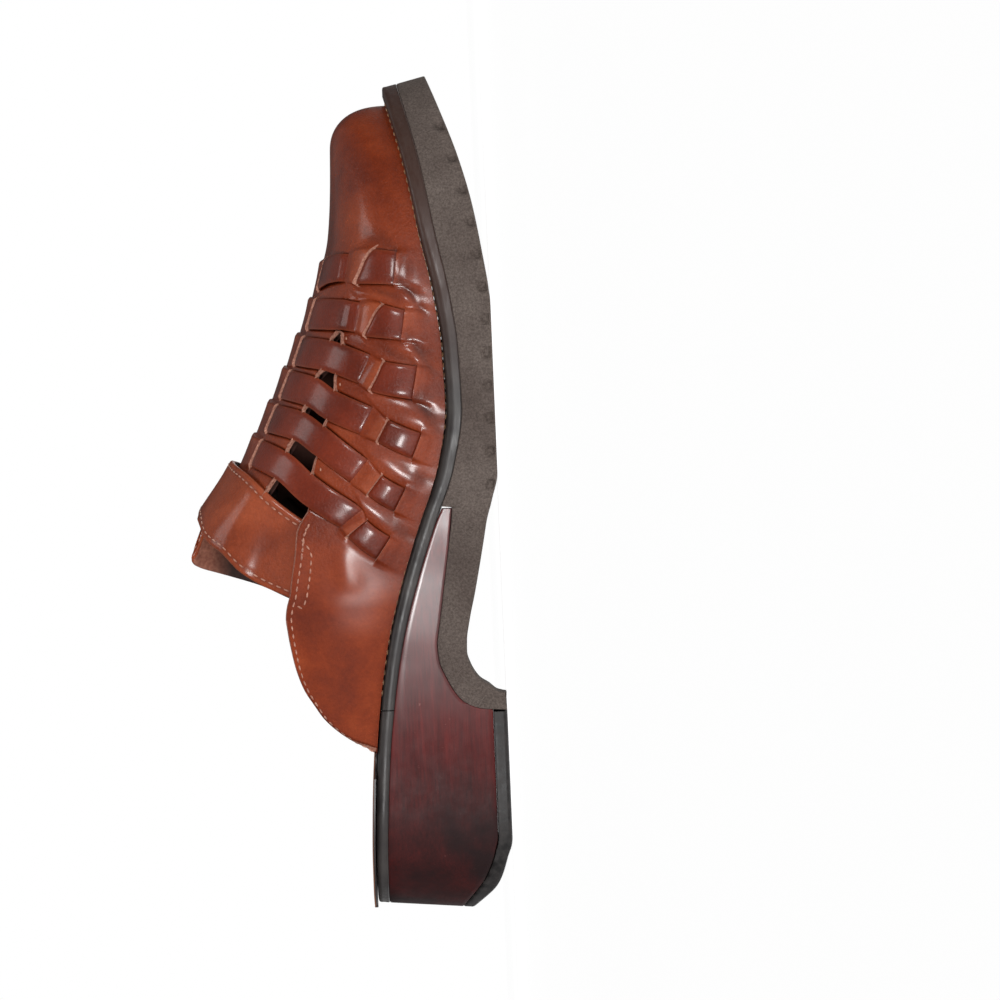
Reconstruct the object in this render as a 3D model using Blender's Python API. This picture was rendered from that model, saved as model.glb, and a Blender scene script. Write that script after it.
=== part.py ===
"""Right-foot leather clog: woven upper, unit sole with a wood-look heel wedge.

Metres, +Z up. The toe points to -Y, the little-toe side to -X, and the origin lies on the floor
under the middle of the shoe. Every piece comes from one last, given by its sections along the foot.
"""
import math

import bmesh
import bpy
from mathutils import Vector

# ---- driving dimensions ----
LENGTH = 0.265           # heel back to toe tip, along the outsole
BALL_WIDTH = 0.095       # widest part of the outsole
HEEL_HEIGHT = 0.045      # floor to heel seat
INSTEP_HEIGHT = 0.098    # floor to the top of the instep strap
MM = 0.001
GAP = 0.3 * MM           # left between pieces that meet

# ---- the last ----
# along: share of LENGTH from the heel back.  outer, inner: sole edge on the little-toe and big-toe
# side, shares of BALL_WIDTH.  feather: where the upper meets the sole, share of HEEL_HEIGHT.
# crown: top of the upper, share of INSTEP_HEIGHT.  roof: exponent of the cross-section over the
# top, where less than 2 gives a soft ridge.
SECTION_COLUMNS = ("along", "outer", "inner", "feather", "crown", "roof")
SECTIONS = (
    (0.00, 0.000, 0.000, 0.960, 0.980, 2.20),
    (0.02, -0.174, 0.174, 0.964, 0.990, 2.20),
    (0.06, -0.273, 0.271, 0.962, 1.000, 2.20),
    (0.12, -0.332, 0.322, 0.948, 1.020, 2.20),
    (0.18, -0.351, 0.330, 0.925, 1.040, 2.18),
    (0.25, -0.357, 0.316, 0.880, 1.070, 2.07),
    (0.32, -0.368, 0.298, 0.810, 1.080, 1.95),
    (0.39, -0.396, 0.296, 0.700, 1.060, 1.84),
    (0.46, -0.442, 0.318, 0.560, 0.983, 1.78),
    (0.53, -0.491, 0.364, 0.410, 0.854, 1.75),
    (0.60, -0.525, 0.415, 0.340, 0.748, 1.78),
    (0.67, -0.534, 0.454, 0.350, 0.656, 1.85),
    (0.74, -0.517, 0.466, 0.400, 0.577, 1.96),
    (0.81, -0.473, 0.455, 0.480, 0.519, 2.10),
    (0.87, -0.405, 0.422, 0.540, 0.505, 2.25),
    (0.92, -0.318, 0.366, 0.600, 0.500, 2.30),
    (0.96, -0.212, 0.284, 0.660, 0.496, 2.30),
    (1.00, 0.045, 0.045, 0.720, 0.494, 2.30),
)
RIDGE_X = 5 * MM                     # the instep ridge lies towards the big toe
WALL_SHAPE = 2.4                     # exponent of the cross-section up the side wall
UPPER_START, UPPER_TIP = 6 * MM, 256 * MM    # ends of the last, from the heel back
TOE_ROUND, TOE_SHAPE = 14 * MM, 2.5  # length and exponent of the rounding down the toe's front
MARGIN = 0.91                        # width of the last over the width of the sole
WALL = 2.2 * MM                      # leather and lining

# ---- the sole ----
TOE_LIFT = 17.8 * MM                 # underside of the toe tip above the floor
TOE_RAKE = 3.0 * MM                  # how far the toe's face leans back over its height
TOE_FACE = 12.7 * MM                 # height of that face
BACK_ROLL = 12.5 * MM                # height of the rolled corner under the heel's back
BACK_LEAN = 3 * MM                   # how far the heel's back leans in above it
HEEL_TAPER, FORE_TAPER = 0.05, 0.04  # narrowing towards the floor at the heel, and upwards in front
# One row for each cross-line of a piece, toe to heel: place and height of its low edge and of its
# high edge. Places are shares of LENGTH and heights are shares of HEEL_HEIGHT; None is the
# underside of the band that follows the feather line.
ROW_COLUMNS = ("low_at", "low_height", "high_at", "high_height")
OUTSOLE_ROWS = (
    (1.000, 0.396, 0.9925, None),
    (0.958, 0.304, 0.952, None),
    (0.898, 0.184, 0.894, None),
    (0.841, 0.100, 0.841, None),
    (0.781, 0.042, 0.789, None),
    (0.740, 0.009, 0.740, None),
    (0.717, 0.000, 0.717, None),
    (0.642, 0.000, 0.642, None),
    (0.566, 0.000, 0.566, None),
    (0.521, 0.000, 0.521, None),
    (0.491, 0.040, 0.491, None),
    (0.476, 0.066, 0.482, None),
    (0.473, 0.072, 0.481, 0.329),
    (0.464, 0.087, 0.468, 0.335),
    (0.434, 0.122, 0.434, 0.364),
    (0.377, 0.193, 0.385, 0.409),
    (0.347, 0.236, 0.347, 0.444),
    (0.321, 0.264, 0.317, 0.471),
    (0.306, 0.267, 0.298, 0.462),
    (0.291, 0.242, 0.279, 0.420),
    (0.275, 0.182, 0.262, 0.367),
    (0.268, 0.122, 0.249, 0.304),
    (0.260, 0.064, 0.240, 0.189),
    (0.257, 0.000, 0.237, 0.000),
)
WEDGE_ROWS = (
    (0.479, 0.331, 0.479, 0.400),
    (0.457, 0.347, 0.457, None),
    (0.434, 0.364, 0.430, None),
    (0.385, 0.409, 0.385, None),
    (0.347, 0.444, 0.347, None),
    (0.317, 0.471, 0.320, None),
    (0.298, 0.462, 0.302, None),
    (0.279, 0.420, 0.285, None),
    (0.262, 0.367, 0.264, None),
    (0.249, 0.304, 0.247, None),
    (0.240, 0.189, 0.234, None),
    (0.237, 0.100, 0.223, None),
    (0.189, 0.100, 0.189, None),
    (0.140, 0.100, 0.142, None),
    (0.091, 0.100, 0.091, None),
    (0.068, 0.125, 0.064, None),
    (0.038, 0.195, 0.032, None),
    (0.002, 0.365, 0.010, None),
)
LIFT_ROWS = (
    (0.235, 0.000, 0.235, 0.093),
    (0.151, 0.000, 0.151, 0.093),
    (0.083, 0.000, 0.087, 0.093),
    (0.058, 0.038, 0.066, 0.118),
    (0.029, 0.100, 0.037, 0.188),
    (0.000, 0.278, 0.002, 0.358),
)
BAND_FRONT, BAND_BACK = 4.9 * MM, 3.5 * MM   # thickness of welt and heel rand at the two ends
WELT_END = 64 * MM                   # where the welt stops and the rand starts, from the heel back
BAND_ROWS = 24
TOE_BAND_START = 262 * MM            # front of the welt's top edge
LUG_DEPTH, LUG_PITCH, LUG_GROOVE = 2.2 * MM, 12.5 * MM, 3.2 * MM
LUG_COUNT = 11
FIRST_GROOVE = 127 * MM              # rearmost tread groove, from the heel back

# ---- insole ----
INSOLE_THICKNESS = 1.2 * MM
INSOLE_END = 3.6 * MM                # its back edge, from the heel back
INSOLE_CLEARANCE = 1.2 * MM          # to the inside of the upper

# ---- openings and straps of the upper ----
# along: share of LENGTH.  up: share of the way from the sole's edge to the ridge.  The slot on the
# big-toe side lies higher than this one, so the two don't face each other across the foot.
SLOT_COLUMNS = ("along", "panel_edge", "band_edge")
SLOT = (
    (0.704, 0.415, 0.437),
    (0.678, 0.405, 0.480),
    (0.650, 0.396, 0.505),
    (0.600, 0.382, 0.513),
    (0.556, 0.372, 0.518),
    (0.500, 0.345, 0.525),
)
INNER_SLOT_RISE = 0.150
STRAP_COLUMNS = ("foot_at", "foot_up", "knee_at", "knee_up", "over_at", "over_up", "head_at", "head_up")
STRAPS = (
    (0.767, 0.145, 0.770, 0.380, 0.770, 0.520, 0.766, 0.800),
    (0.699, 0.110, 0.711, 0.350, 0.714, 0.450, 0.718, 0.790),
    (0.630, 0.073, 0.649, 0.272, 0.667, 0.482, 0.675, 0.800),
    (0.555, 0.054, 0.587, 0.227, 0.624, 0.511, 0.636, 0.800),
    (0.491, 0.055, 0.528, 0.202, 0.584, 0.516, 0.597, 0.800),
    (0.435, 0.054, 0.472, 0.165, 0.538, 0.521, 0.555, 0.790),
)
STRAP_WIDTH = 9.4 * MM
STRAP_PROUD = 1.2 * MM               # how far a woven strap stands above the wall
UPPER_BACK = 46 * MM                 # rear end of the side panels before their top line is cut
# at: share of LENGTH.  height: share of INSTEP_HEIGHT.  The cut runs from the back up over the
# quarters, steps down behind the instep strap, and ends under it.
TOPLINE_COLUMNS = ("at", "height")
TOPLINE = (
    (0.170, 0.380),
    (0.183, 0.431),
    (0.196, 0.468),
    (0.211, 0.535),
    (0.226, 0.586),
    (0.242, 0.610),
    (0.257, 0.638),
    (0.272, 0.656),
    (0.302, 0.688),
    (0.328, 0.701),
    (0.370, 0.707),
    (0.377, 0.660),
    (0.423, 0.648),
    (0.487, 0.628),
    (0.513, 0.606),
)

# ---- instep strap ----
# turn: 0 at the outer end, 1 at the top.  at: middle of the strap.  up: as above.
# lift: its inner face above the outside of the last, in millimetres.
INSTEP_COLUMNS = ("turn", "at", "up", "lift")
INSTEP = (
    (0.00, 0.400, 0.250, -4.8),
    (0.14, 0.418, 0.310, -4.8),
    (0.30, 0.438, 0.420, -2.4),
    (0.45, 0.458, 0.545, 0.2),
    (0.68, 0.484, 0.750, 1.0),
    (0.84, 0.497, 0.880, 1.2),
    (1.00, 0.500, 1.000, 1.2),
)
INSTEP_WIDTH = 22.5 * MM
INSTEP_THICKNESS = 2.2 * MM


def column(table, columns, name):
    """One named column of a table."""
    place = columns.index(name)
    return [row[place] for row in table]


def smooth(xs, ys, x):
    """Smooth curve through the points that never swings past them."""
    steps = [b - a for a, b in zip(xs, xs[1:])]
    rises = [(b - a) / step for a, b, step in zip(ys, ys[1:], steps)]
    slopes = [rises[0]]
    for before, after in zip(rises, rises[1:]):
        slopes.append(2 * before * after / (before + after) if before * after > 0 else 0.0)
    slopes.append(rises[-1])
    i = 0
    while i < len(steps) - 1 and (x - xs[i + 1]) * steps[i] > 0:
        i += 1
    t = min(max((x - xs[i]) / steps[i], 0.0), 1.0)
    start = ys[i] * (1 + 2 * t) * (1 - t) ** 2 + slopes[i] * steps[i] * t * (1 - t) ** 2
    end = ys[i + 1] * t * t * (3 - 2 * t) + slopes[i + 1] * steps[i] * t * t * (t - 1)
    return start + end


def section(name, at):
    """A column of the last's sections at a distance from the heel back."""
    return smooth(column(SECTIONS, SECTION_COLUMNS, "along"),
                  column(SECTIONS, SECTION_COLUMNS, name), at / LENGTH)


def outline(side, share):
    """X of the sole's outline; share runs 0 to 1 from heel to toe and both ends close round."""
    turns = [math.acos(1 - 2 * along) for along in column(SECTIONS, SECTION_COLUMNS, "along")]
    name = "outer" if side < 0 else "inner"
    turn = math.acos(1 - 2 * min(max(share, 0.0), 1.0))
    return BALL_WIDTH * smooth(turns, column(SECTIONS, SECTION_COLUMNS, name), turn)


def feather(at):
    """Height of the sole's top edge."""
    return HEEL_HEIGHT * section("feather", at)


def band_underside(at):
    """Height of the lower edge of the welt and heel rand."""
    share = min(max(at / (LENGTH / 2), 0.0), 1.0)
    return feather(at) - BAND_BACK - (BAND_FRONT - BAND_BACK) * share


def sole_x(side, at, height):
    """X of the sole's flank at any place and height."""
    tip = LENGTH - TOE_RAKE * min(max((height - TOE_LIFT) / TOE_FACE, 0.0), 1.0)
    back = BACK_LEAN * min(max((height - BACK_ROLL) / (HEEL_HEIGHT - BACK_ROLL), 0.0), 1.0)
    share = (at - back) / (tip - back)
    rise = min(max(height / feather(at), 0.0), 1.0)
    front = min(max((at / LENGTH - 0.3) / 0.2, 0.0), 1.0)
    taper = (1 - front) * HEEL_TAPER * (1 - rise) + front * FORE_TAPER * rise
    return outline(side, share) * (1 - taper)


def point(x, at, height):
    """World position from the heel's middle line and the distance to the heel back."""
    sides = [column(SECTIONS, SECTION_COLUMNS, name) for name in ("outer", "inner")]
    return Vector((x - BALL_WIDTH * (min(sides[0]) + max(sides[1])) / 2, LENGTH / 2 - at, height))


def skin(at, girth):
    """Point on the upper's outside. girth: -1 outer sole edge, 0 ridge, 1 inner sole edge."""
    share = (at - UPPER_START) / (UPPER_TIP - UPPER_START)
    side = -1 if girth < 0 else 1
    low = feather(at) + GAP
    high = INSTEP_HEIGHT * section("crown", at)
    over = min(max((at - UPPER_TIP + TOE_ROUND) / TOE_ROUND, 0.0), 1.0)
    high = low + (high - low) * (1 - over ** TOE_SHAPE) ** (1 / TOE_SHAPE)
    middle = MARGIN * (outline(-1, share) + outline(1, share)) / 2
    ridge = middle + RIDGE_X * math.sin(math.pi * min(max(share, 0.0), 1.0))
    half = MARGIN * outline(side, share) - ridge
    turn = (1 - abs(girth)) * math.pi / 2
    out = math.cos(turn) ** (2 / section("roof", at))
    rise = math.sin(turn) ** (2 / WALL_SHAPE)
    return point(ridge + half * out, at, low + (high - low) * rise)


def on_skin(at, girth, lift):
    """Point a distance above the upper's outside, along its normal."""
    step = 0.004
    at_low, at_high = at - 0.5 * MM, min(at + 0.5 * MM, UPPER_TIP - 0.1 * MM)
    inner = min(max(girth, step - 1), 1 - step)
    across = skin(at, inner + step) - skin(at, inner - step)
    along = skin(at_high, inner) - skin(at_low, inner)
    normal = along.cross(across)
    if normal.length < 1e-12:
        normal = Vector((0, -1, 0))
    if at > UPPER_TIP - 0.6 * MM:
        normal = Vector((0, -1, 0))
    return skin(at, girth) + normal.normalized() * lift


def surface_material(name, colour, roughness):
    """Plain material of one piece."""
    material = bpy.data.materials.new(name)
    material.use_nodes = True
    shader = material.node_tree.nodes["Principled BSDF"]
    shader.inputs["Base Color"].default_value = (*colour, 1)
    shader.inputs["Roughness"].default_value = roughness
    shader.inputs["Metallic"].default_value = 0
    material.diffuse_color = (*colour, 1)
    return material


def slab(name, place, rows, across, material=None):
    """Closed plate: a grid of rows by columns, raised from its low face to its high face.

    place(u, v, level) gives a position for u along 0 to 1, v across 0 to 1 and level 0 or 1.
    """
    mesh = bpy.data.meshes.new(name)
    work = bmesh.new()
    bmesh.ops.create_grid(work, x_segments=rows, y_segments=across, size=0.5)
    low = list(work.verts)
    raised = bmesh.ops.extrude_face_region(work, geom=work.faces[:], use_keep_orig=True)
    high = [item for item in raised["geom"] if isinstance(item, bmesh.types.BMVert)]
    for level, corners in enumerate((low, high)):
        for corner in corners:
            corner.co = place(corner.co.x + 0.5, corner.co.y + 0.5, level)
    bmesh.ops.remove_doubles(work, verts=work.verts[:], dist=0.002 * MM)
    bmesh.ops.triangulate(work, faces=work.faces[:])
    bmesh.ops.recalc_face_normals(work, faces=work.faces[:])
    if work.calc_volume(signed=True) < 0:
        bmesh.ops.reverse_faces(work, faces=work.faces[:])
    work.to_mesh(mesh)
    work.free()
    piece = bpy.data.objects.new(name, mesh)
    bpy.context.collection.objects.link(piece)
    if material:
        mesh.materials.append(material)
        mesh.shade_smooth()
        mesh.set_sharp_from_angle(angle=math.radians(35))
    else:
        piece.hide_render = True
        piece.display_type = 'WIRE'
    return piece


def combine(piece, tool, operation):
    """Cut away or join on another object."""
    modifier = piece.modifiers.new(tool.name, 'BOOLEAN')
    modifier.operation = operation
    modifier.object = tool
    modifier.solver = 'EXACT'
    tool.hide_render = True
    tool.display_type = 'WIRE'


def sole_rows(table, between, closing):
    """Cross-lines of a sole piece: low and high edge in metres, with more rows in between.

    closing: how many extra rows round off the first ("toe") or the last ("heel") interval.
    """
    lines = [[scale * value if value is not None else band_underside(LENGTH * row[2])
              for value, scale in zip(row, (LENGTH, HEEL_HEIGHT, LENGTH, HEEL_HEIGHT))]
             for row in table]
    numbers = list(range(len(table)))
    places = []
    for number in numbers[:-1]:
        if number == 0 and "toe" in closing:
            places += [(1 - math.cos(math.pi / 2 * k / 8)) for k in range(8)]
        elif number == numbers[-2] and "heel" in closing:
            places += [number + math.sin(math.pi / 2 * k / 8) for k in range(8)]
        else:
            places += [number + k / between for k in range(between)]
    places.append(numbers[-1])
    rows = []
    for place in places:
        row = [smooth(numbers, column(lines, ROW_COLUMNS, name), place) for name in ROW_COLUMNS]
        if table[math.floor(place)][3] is None and table[math.ceil(place)][3] is None:
            row[3] = band_underside(row[2])
        rows.append(row)
    return rows


def sole_piece(name, table, material, between=1, closing=(), low_gap=0.0, high_gap=0.0):
    """Sole layer between two height lines, with the sole's flanks."""
    rows = sole_rows(table, between, closing)

    def place(u, v, level):
        low_at, low, high_at, high = rows[round(u * (len(rows) - 1))]
        at, height = (high_at, high) if level else (low_at, low)
        x = (1 - v) * sole_x(-1, at, height) + v * sole_x(1, at, height)
        move = (high_gap if level else low_gap) / math.hypot(high_at - low_at, high - low)
        at += move * ((low_at - high_at) if level else (high_at - low_at))
        height += move * ((low - high) if level else (high - low))
        return point(x, at, height)

    return slab(name, place, len(rows) - 1, 1, material)


def band_rows(front, back):
    """Rows of the dark band under the feather line between two places."""
    rows = []
    for k in range(BAND_ROWS + 1):
        at = front + (back - front) * k / BAND_ROWS
        rake = TOE_RAKE * BAND_FRONT / TOE_FACE * max(0.0, (at / LENGTH - 0.8) / 0.175)
        low_at = at + rake
        rows.append((low_at / LENGTH, band_underside(low_at) / HEEL_HEIGHT,
                     at / LENGTH, feather(at) / HEEL_HEIGHT))
    return tuple(rows)


def make_outsole():
    """Rubber sheet with tread grooves under the forefoot and a breast that turns to the floor."""
    rubber = surface_material("outsole_rubber", (0.060, 0.048, 0.043), 0.75)
    outsole = sole_piece("outsole", OUTSOLE_ROWS, rubber, between=2, closing=("toe",), high_gap=GAP)
    for number in range(LUG_COUNT):
        at = FIRST_GROOVE + number * LUG_PITCH
        under = ground_height(at)

        def place(u, v, level, at=at, under=under):
            x = (2 * v - 1) * BALL_WIDTH * 0.6
            depth = under + LUG_DEPTH if level else under - 6 * MM
            return point(x, at + (u - 0.5) * LUG_GROOVE, depth)

        combine(outsole, slab("groove_%02d" % number, place, 1, 1), 'DIFFERENCE')
    return outsole


def ground_height(at):
    """Underside of the outsole."""
    places = column(OUTSOLE_ROWS, ROW_COLUMNS, "low_at")[::-1]
    heights = column(OUTSOLE_ROWS, ROW_COLUMNS, "low_height")[::-1]
    return HEEL_HEIGHT * smooth(places, heights, at / LENGTH)


def make_heel():
    """Wedge with its tip under the arch, and the rubber wear layer below it."""
    wedge = surface_material("heel_wood_look", (0.115, 0.016, 0.014), 0.35)
    rubber = surface_material("top_lift_rubber", (0.030, 0.026, 0.026), 0.7)
    sole_piece("heel_wedge", WEDGE_ROWS, wedge, between=2, closing=("heel",), low_gap=GAP, high_gap=GAP)
    sole_piece("top_lift", LIFT_ROWS, rubber, between=2, closing=("heel",), high_gap=GAP)


def make_bands():
    """Welt round the front and waist, and the rand under the heel seat."""
    rubber = surface_material("midsole_rubber", (0.040, 0.034, 0.034), 0.6)
    sole_piece("welt", band_rows(TOE_BAND_START, WELT_END + GAP / 2), rubber, closing=("toe",))
    sole_piece("heel_rand", band_rows(WELT_END - GAP / 2, BACK_LEAN), rubber, closing=("heel",))


def make_insole():
    """Footbed inside the upper and over the heel seat."""
    leather = surface_material("insole_leather", (0.30, 0.12, 0.06), 0.6)
    front = UPPER_TIP - WALL - 2 * INSOLE_CLEARANCE

    def place(u, v, level):
        at = INSOLE_END + (front - INSOLE_END) * (1 - math.cos(math.pi * u)) / 2
        share = (at - INSOLE_END) / (front - INSOLE_END)
        sides = []
        for side in (-1, 1):
            body = MARGIN * outline(side, share) - side * (WALL + INSOLE_CLEARANCE)
            middle = MARGIN * (outline(-1, share) + outline(1, share)) / 2
            sides.append(middle + side * max(side * (body - middle), 0.0))
        x = (1 - v) * sides[0] + v * sides[1]
        return point(x, at, feather(at) + GAP + level * INSOLE_THICKNESS)

    slab("insole", place, 30, 1, leather)


def make_upper():
    """Hollow wall of toe, side panels, centre band and woven straps, joined where they cross."""
    leather = surface_material("upper_leather", (0.23, 0.055, 0.022), 0.3)

    def wall(u, v, level):
        at = UPPER_BACK + (UPPER_TIP - UPPER_BACK) * math.sin(math.pi / 2 * u) ** 0.9
        return on_skin(at, 2 * v - 1, (level - 1) * WALL)

    upper = slab("upper", wall, 34, 26, leather)
    places = column(TOPLINE, TOPLINE_COLUMNS, "at")
    heights = column(TOPLINE, TOPLINE_COLUMNS, "height")

    def above_topline(u, v, level):
        number = round(u * (len(places) - 1))
        low = INSTEP_HEIGHT * heights[number]
        return point((2 * level - 1) * BALL_WIDTH * 0.6, LENGTH * places[number],
                     low + v * (INSTEP_HEIGHT * 1.3 - low))

    collar = slab("collar_cutter", above_topline, len(places) - 1, 1)
    combine(upper, collar, 'DIFFERENCE')
    for side in (-1, 1):
        combine(upper, slot_cutter(side), 'DIFFERENCE')
    for side in (-1, 1):
        for number in range(len(STRAPS)):
            combine(upper, woven_strap(number, side), 'UNION')
    return upper


def slot_cutter(side):
    """Block through the wall between the side panel's edge and the centre band's edge."""
    along = column(SLOT, SLOT_COLUMNS, "along")[::-1]
    panel = column(SLOT, SLOT_COLUMNS, "panel_edge")[::-1]
    band = column(SLOT, SLOT_COLUMNS, "band_edge")[::-1]
    rise = INNER_SLOT_RISE if side > 0 else 0

    def place(u, v, level):
        share = along[0] + (along[-1] - along[0]) * u
        up = rise + (1 - v) * smooth(along, panel, share) + v * smooth(along, band, share)
        return on_skin(LENGTH * share, side * (1 - up), (2 * level - 1) * 3.5 * MM)

    return slab("slot_cutter_%s" % ("outer" if side < 0 else "inner"), place, 10, 2)


def woven_strap(number, side):
    """One raised strap from low on the side panel to the centre band."""
    row = dict(zip(STRAP_COLUMNS, STRAPS[number]))
    knots = (0.0, 0.30, 0.65, 1.0)
    places = [LENGTH * row[name] for name in ("foot_at", "knee_at", "over_at", "head_at")]
    ups = [row[name] for name in ("foot_up", "knee_up", "over_up", "head_up")]

    def place(u, v, level):
        at = smooth(knots, places, u)
        up = smooth(knots, ups, u)
        ahead = min(u + 0.02, 1.0)
        behind = ahead - 0.04 if ahead < 1 else u - 0.02
        run = skin(smooth(knots, places, ahead), side * (1 - smooth(knots, ups, ahead)))
        run -= skin(smooth(knots, places, max(behind, 0)), side * (1 - smooth(knots, ups, max(behind, 0))))
        climb = math.hypot(run.x, run.z) / run.length
        offset = (v - 0.5) * STRAP_WIDTH
        up += offset * (run.y / run.length) * 0.5 / (BALL_WIDTH * 0.8)
        lift = STRAP_PROUD if level else STRAP_PROUD - WALL - 0.6 * MM
        return on_skin(at + offset * climb, side * (1 - up), lift)

    return slab("strap_%d_%s" % (number + 1, "outer" if side < 0 else "inner"), place, 9, 2)


def make_instep_strap():
    """Wide strap over the instep, its ends inside the side panels."""
    leather = surface_material("instep_strap_leather", (0.21, 0.050, 0.022), 0.35)
    turns = column(INSTEP, INSTEP_COLUMNS, "turn")

    def place(u, v, level):
        turn = 1 - abs(2 * u - 1)
        side = -1 if u < 0.5 else 1
        at = LENGTH * smooth(turns, column(INSTEP, INSTEP_COLUMNS, "at"), turn)
        up = smooth(turns, column(INSTEP, INSTEP_COLUMNS, "up"), turn)
        lift = MM * smooth(turns, column(INSTEP, INSTEP_COLUMNS, "lift"), turn)
        offset = (0.5 - v) * INSTEP_WIDTH
        return on_skin(at - offset, side * (1 - up), lift + level * INSTEP_THICKNESS)

    slab("instep_strap", place, 40, 4, leather)


for leftover in list(bpy.data.objects):
    bpy.data.objects.remove(leftover, do_unlink=True)
make_outsole()
make_heel()
make_bands()
make_insole()
make_upper()
make_instep_strap()
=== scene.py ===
"""Looks of a woven leather clog for the right foot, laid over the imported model.

Metres, +Z up. The toe points to -Y and the little-toe side to -X. Places along the foot are measured
from the back of the heel; places up the wall are shares of the way from the sole to the ridge.
"""

import functools
import math

import bmesh
import bpy
from mathutils import Matrix, Vector


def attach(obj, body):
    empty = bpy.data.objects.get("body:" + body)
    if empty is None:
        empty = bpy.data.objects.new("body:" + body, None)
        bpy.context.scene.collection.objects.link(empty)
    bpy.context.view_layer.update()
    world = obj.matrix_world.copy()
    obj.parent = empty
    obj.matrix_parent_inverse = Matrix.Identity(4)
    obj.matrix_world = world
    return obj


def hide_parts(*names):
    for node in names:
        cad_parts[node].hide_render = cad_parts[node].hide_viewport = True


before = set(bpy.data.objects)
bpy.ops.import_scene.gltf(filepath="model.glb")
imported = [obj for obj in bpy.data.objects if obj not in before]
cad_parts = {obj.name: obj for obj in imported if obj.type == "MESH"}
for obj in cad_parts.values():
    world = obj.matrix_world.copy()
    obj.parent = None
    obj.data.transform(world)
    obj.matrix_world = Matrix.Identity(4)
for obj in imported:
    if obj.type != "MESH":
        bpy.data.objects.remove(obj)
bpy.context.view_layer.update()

# ---- Outsole ----
# Moulded rubber sheet, 9 mm thick at the ball and 7 mm under the arch, that turns down to the floor
# in front of the heel. Cross grooves give grip. The flank is buffed, so it is dull and a bit dusty.
MM = 0.001
LENGTH, BALL_WIDTH, HEEL_HEIGHT = 0.265, 0.095, 0.045
SECTION_NAMES = ("along", "outer", "inner", "feather", "crown", "roof")
SECTIONS = (
    (0.00, 0.000, 0.000, 0.960, 0.980, 2.20),
    (0.02, -0.174, 0.174, 0.964, 0.990, 2.20),
    (0.06, -0.273, 0.271, 0.962, 1.000, 2.20),
    (0.12, -0.332, 0.322, 0.948, 1.020, 2.20),
    (0.18, -0.351, 0.330, 0.925, 1.040, 2.18),
    (0.25, -0.357, 0.316, 0.880, 1.070, 2.07),
    (0.32, -0.368, 0.298, 0.810, 1.080, 1.95),
    (0.39, -0.396, 0.296, 0.700, 1.060, 1.84),
    (0.46, -0.442, 0.318, 0.560, 0.983, 1.78),
    (0.53, -0.491, 0.364, 0.410, 0.854, 1.75),
    (0.60, -0.525, 0.415, 0.340, 0.748, 1.78),
    (0.67, -0.534, 0.454, 0.350, 0.656, 1.85),
    (0.74, -0.517, 0.466, 0.400, 0.577, 1.96),
    (0.81, -0.473, 0.455, 0.480, 0.519, 2.10),
    (0.87, -0.405, 0.422, 0.540, 0.505, 2.25),
    (0.92, -0.318, 0.366, 0.600, 0.500, 2.30),
    (0.96, -0.212, 0.284, 0.660, 0.496, 2.30),
    (1.00, 0.045, 0.045, 0.720, 0.494, 2.30),
)
SECTION = dict(zip(SECTION_NAMES, zip(*SECTIONS)))
TURNS = [math.acos(1 - 2 * along) for along in SECTION["along"]]
MIDDLE_SHIFT = -BALL_WIDTH * (min(SECTION["outer"]) + max(SECTION["inner"])) / 2
TOE_LIFT, TOE_RAKE, TOE_FACE = 17.8 * MM, 3.0 * MM, 12.7 * MM
BACK_ROLL, BACK_LEAN = 12.5 * MM, 3 * MM
HEEL_TAPER, FORE_TAPER = 0.05, 0.04
BAND_FRONT, BAND_BACK = 4.9 * MM, 3.5 * MM
HEEL_SNAP = 0.085 * MM                # cross-lines this near the heel back close on the middle line
WAIST, WAIST_LENGTH = 0.3, 0.2        # where the heel's taper turns into the forepart's
TURN_STEP = 0.02
# Low and high edge of each cross-line, toe to heel: places as shares of the length, heights as
# shares of the heel's height. None is the underside of the band above.
OUTSOLE_ROWS = (
    (1.000, 0.396, 0.9919, None),
    (0.958, 0.304, 0.952, None),
    (0.898, 0.184, 0.894, None),
    (0.841, 0.100, 0.841, None),
    (0.781, 0.042, 0.789, None),
    (0.740, 0.009, 0.740, None),
    (0.717, 0.000, 0.717, None),
    (0.642, 0.000, 0.642, None),
    (0.566, 0.000, 0.566, None),
    (0.521, 0.000, 0.521, None),
    (0.491, 0.040, 0.491, None),
    (0.476, 0.066, 0.482, None),
    (0.473, 0.072, 0.481, 0.329),
    (0.464, 0.087, 0.468, 0.335),
    (0.434, 0.122, 0.434, 0.364),
    (0.377, 0.193, 0.385, 0.409),
    (0.347, 0.236, 0.347, 0.444),
    (0.321, 0.264, 0.317, 0.471),
    (0.306, 0.267, 0.298, 0.462),
    (0.291, 0.242, 0.279, 0.420),
    (0.275, 0.182, 0.262, 0.367),
    (0.268, 0.122, 0.249, 0.304),
    (0.260, 0.064, 0.240, 0.189),
    (0.257, 0.000, 0.237, 0.0125),
)
GROOVE_FIRST, GROOVE_PITCH, GROOVE_COUNT = 134 * MM, 10.4 * MM, 12
GROOVE_WIDTH, GROOVE_DEPTH, GROOVE_FLOOR = 3.2, 1.8, 0.56   # the floor as a share of the width
DENT_UP, DENT_LENGTH, DENT_HEIGHT, DENT_DEPTH = 1.9, 1.5, 1.3, 1.5
BULGE = 1.35                          # above 1, the flank's rows lie closer to the lower rim
# How a rim is rounded: (inset from the flank, fall from the rim) in millimetres.
CRISP_RIM = ((0.0, 0.50), (0.12, 0.16), (0.45, 0.0), (1.2, 0.0))
WORN_RIM = ((0.0, 1.10), (0.30, 0.42), (1.0, 0.08), (2.2, 0.0))


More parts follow.
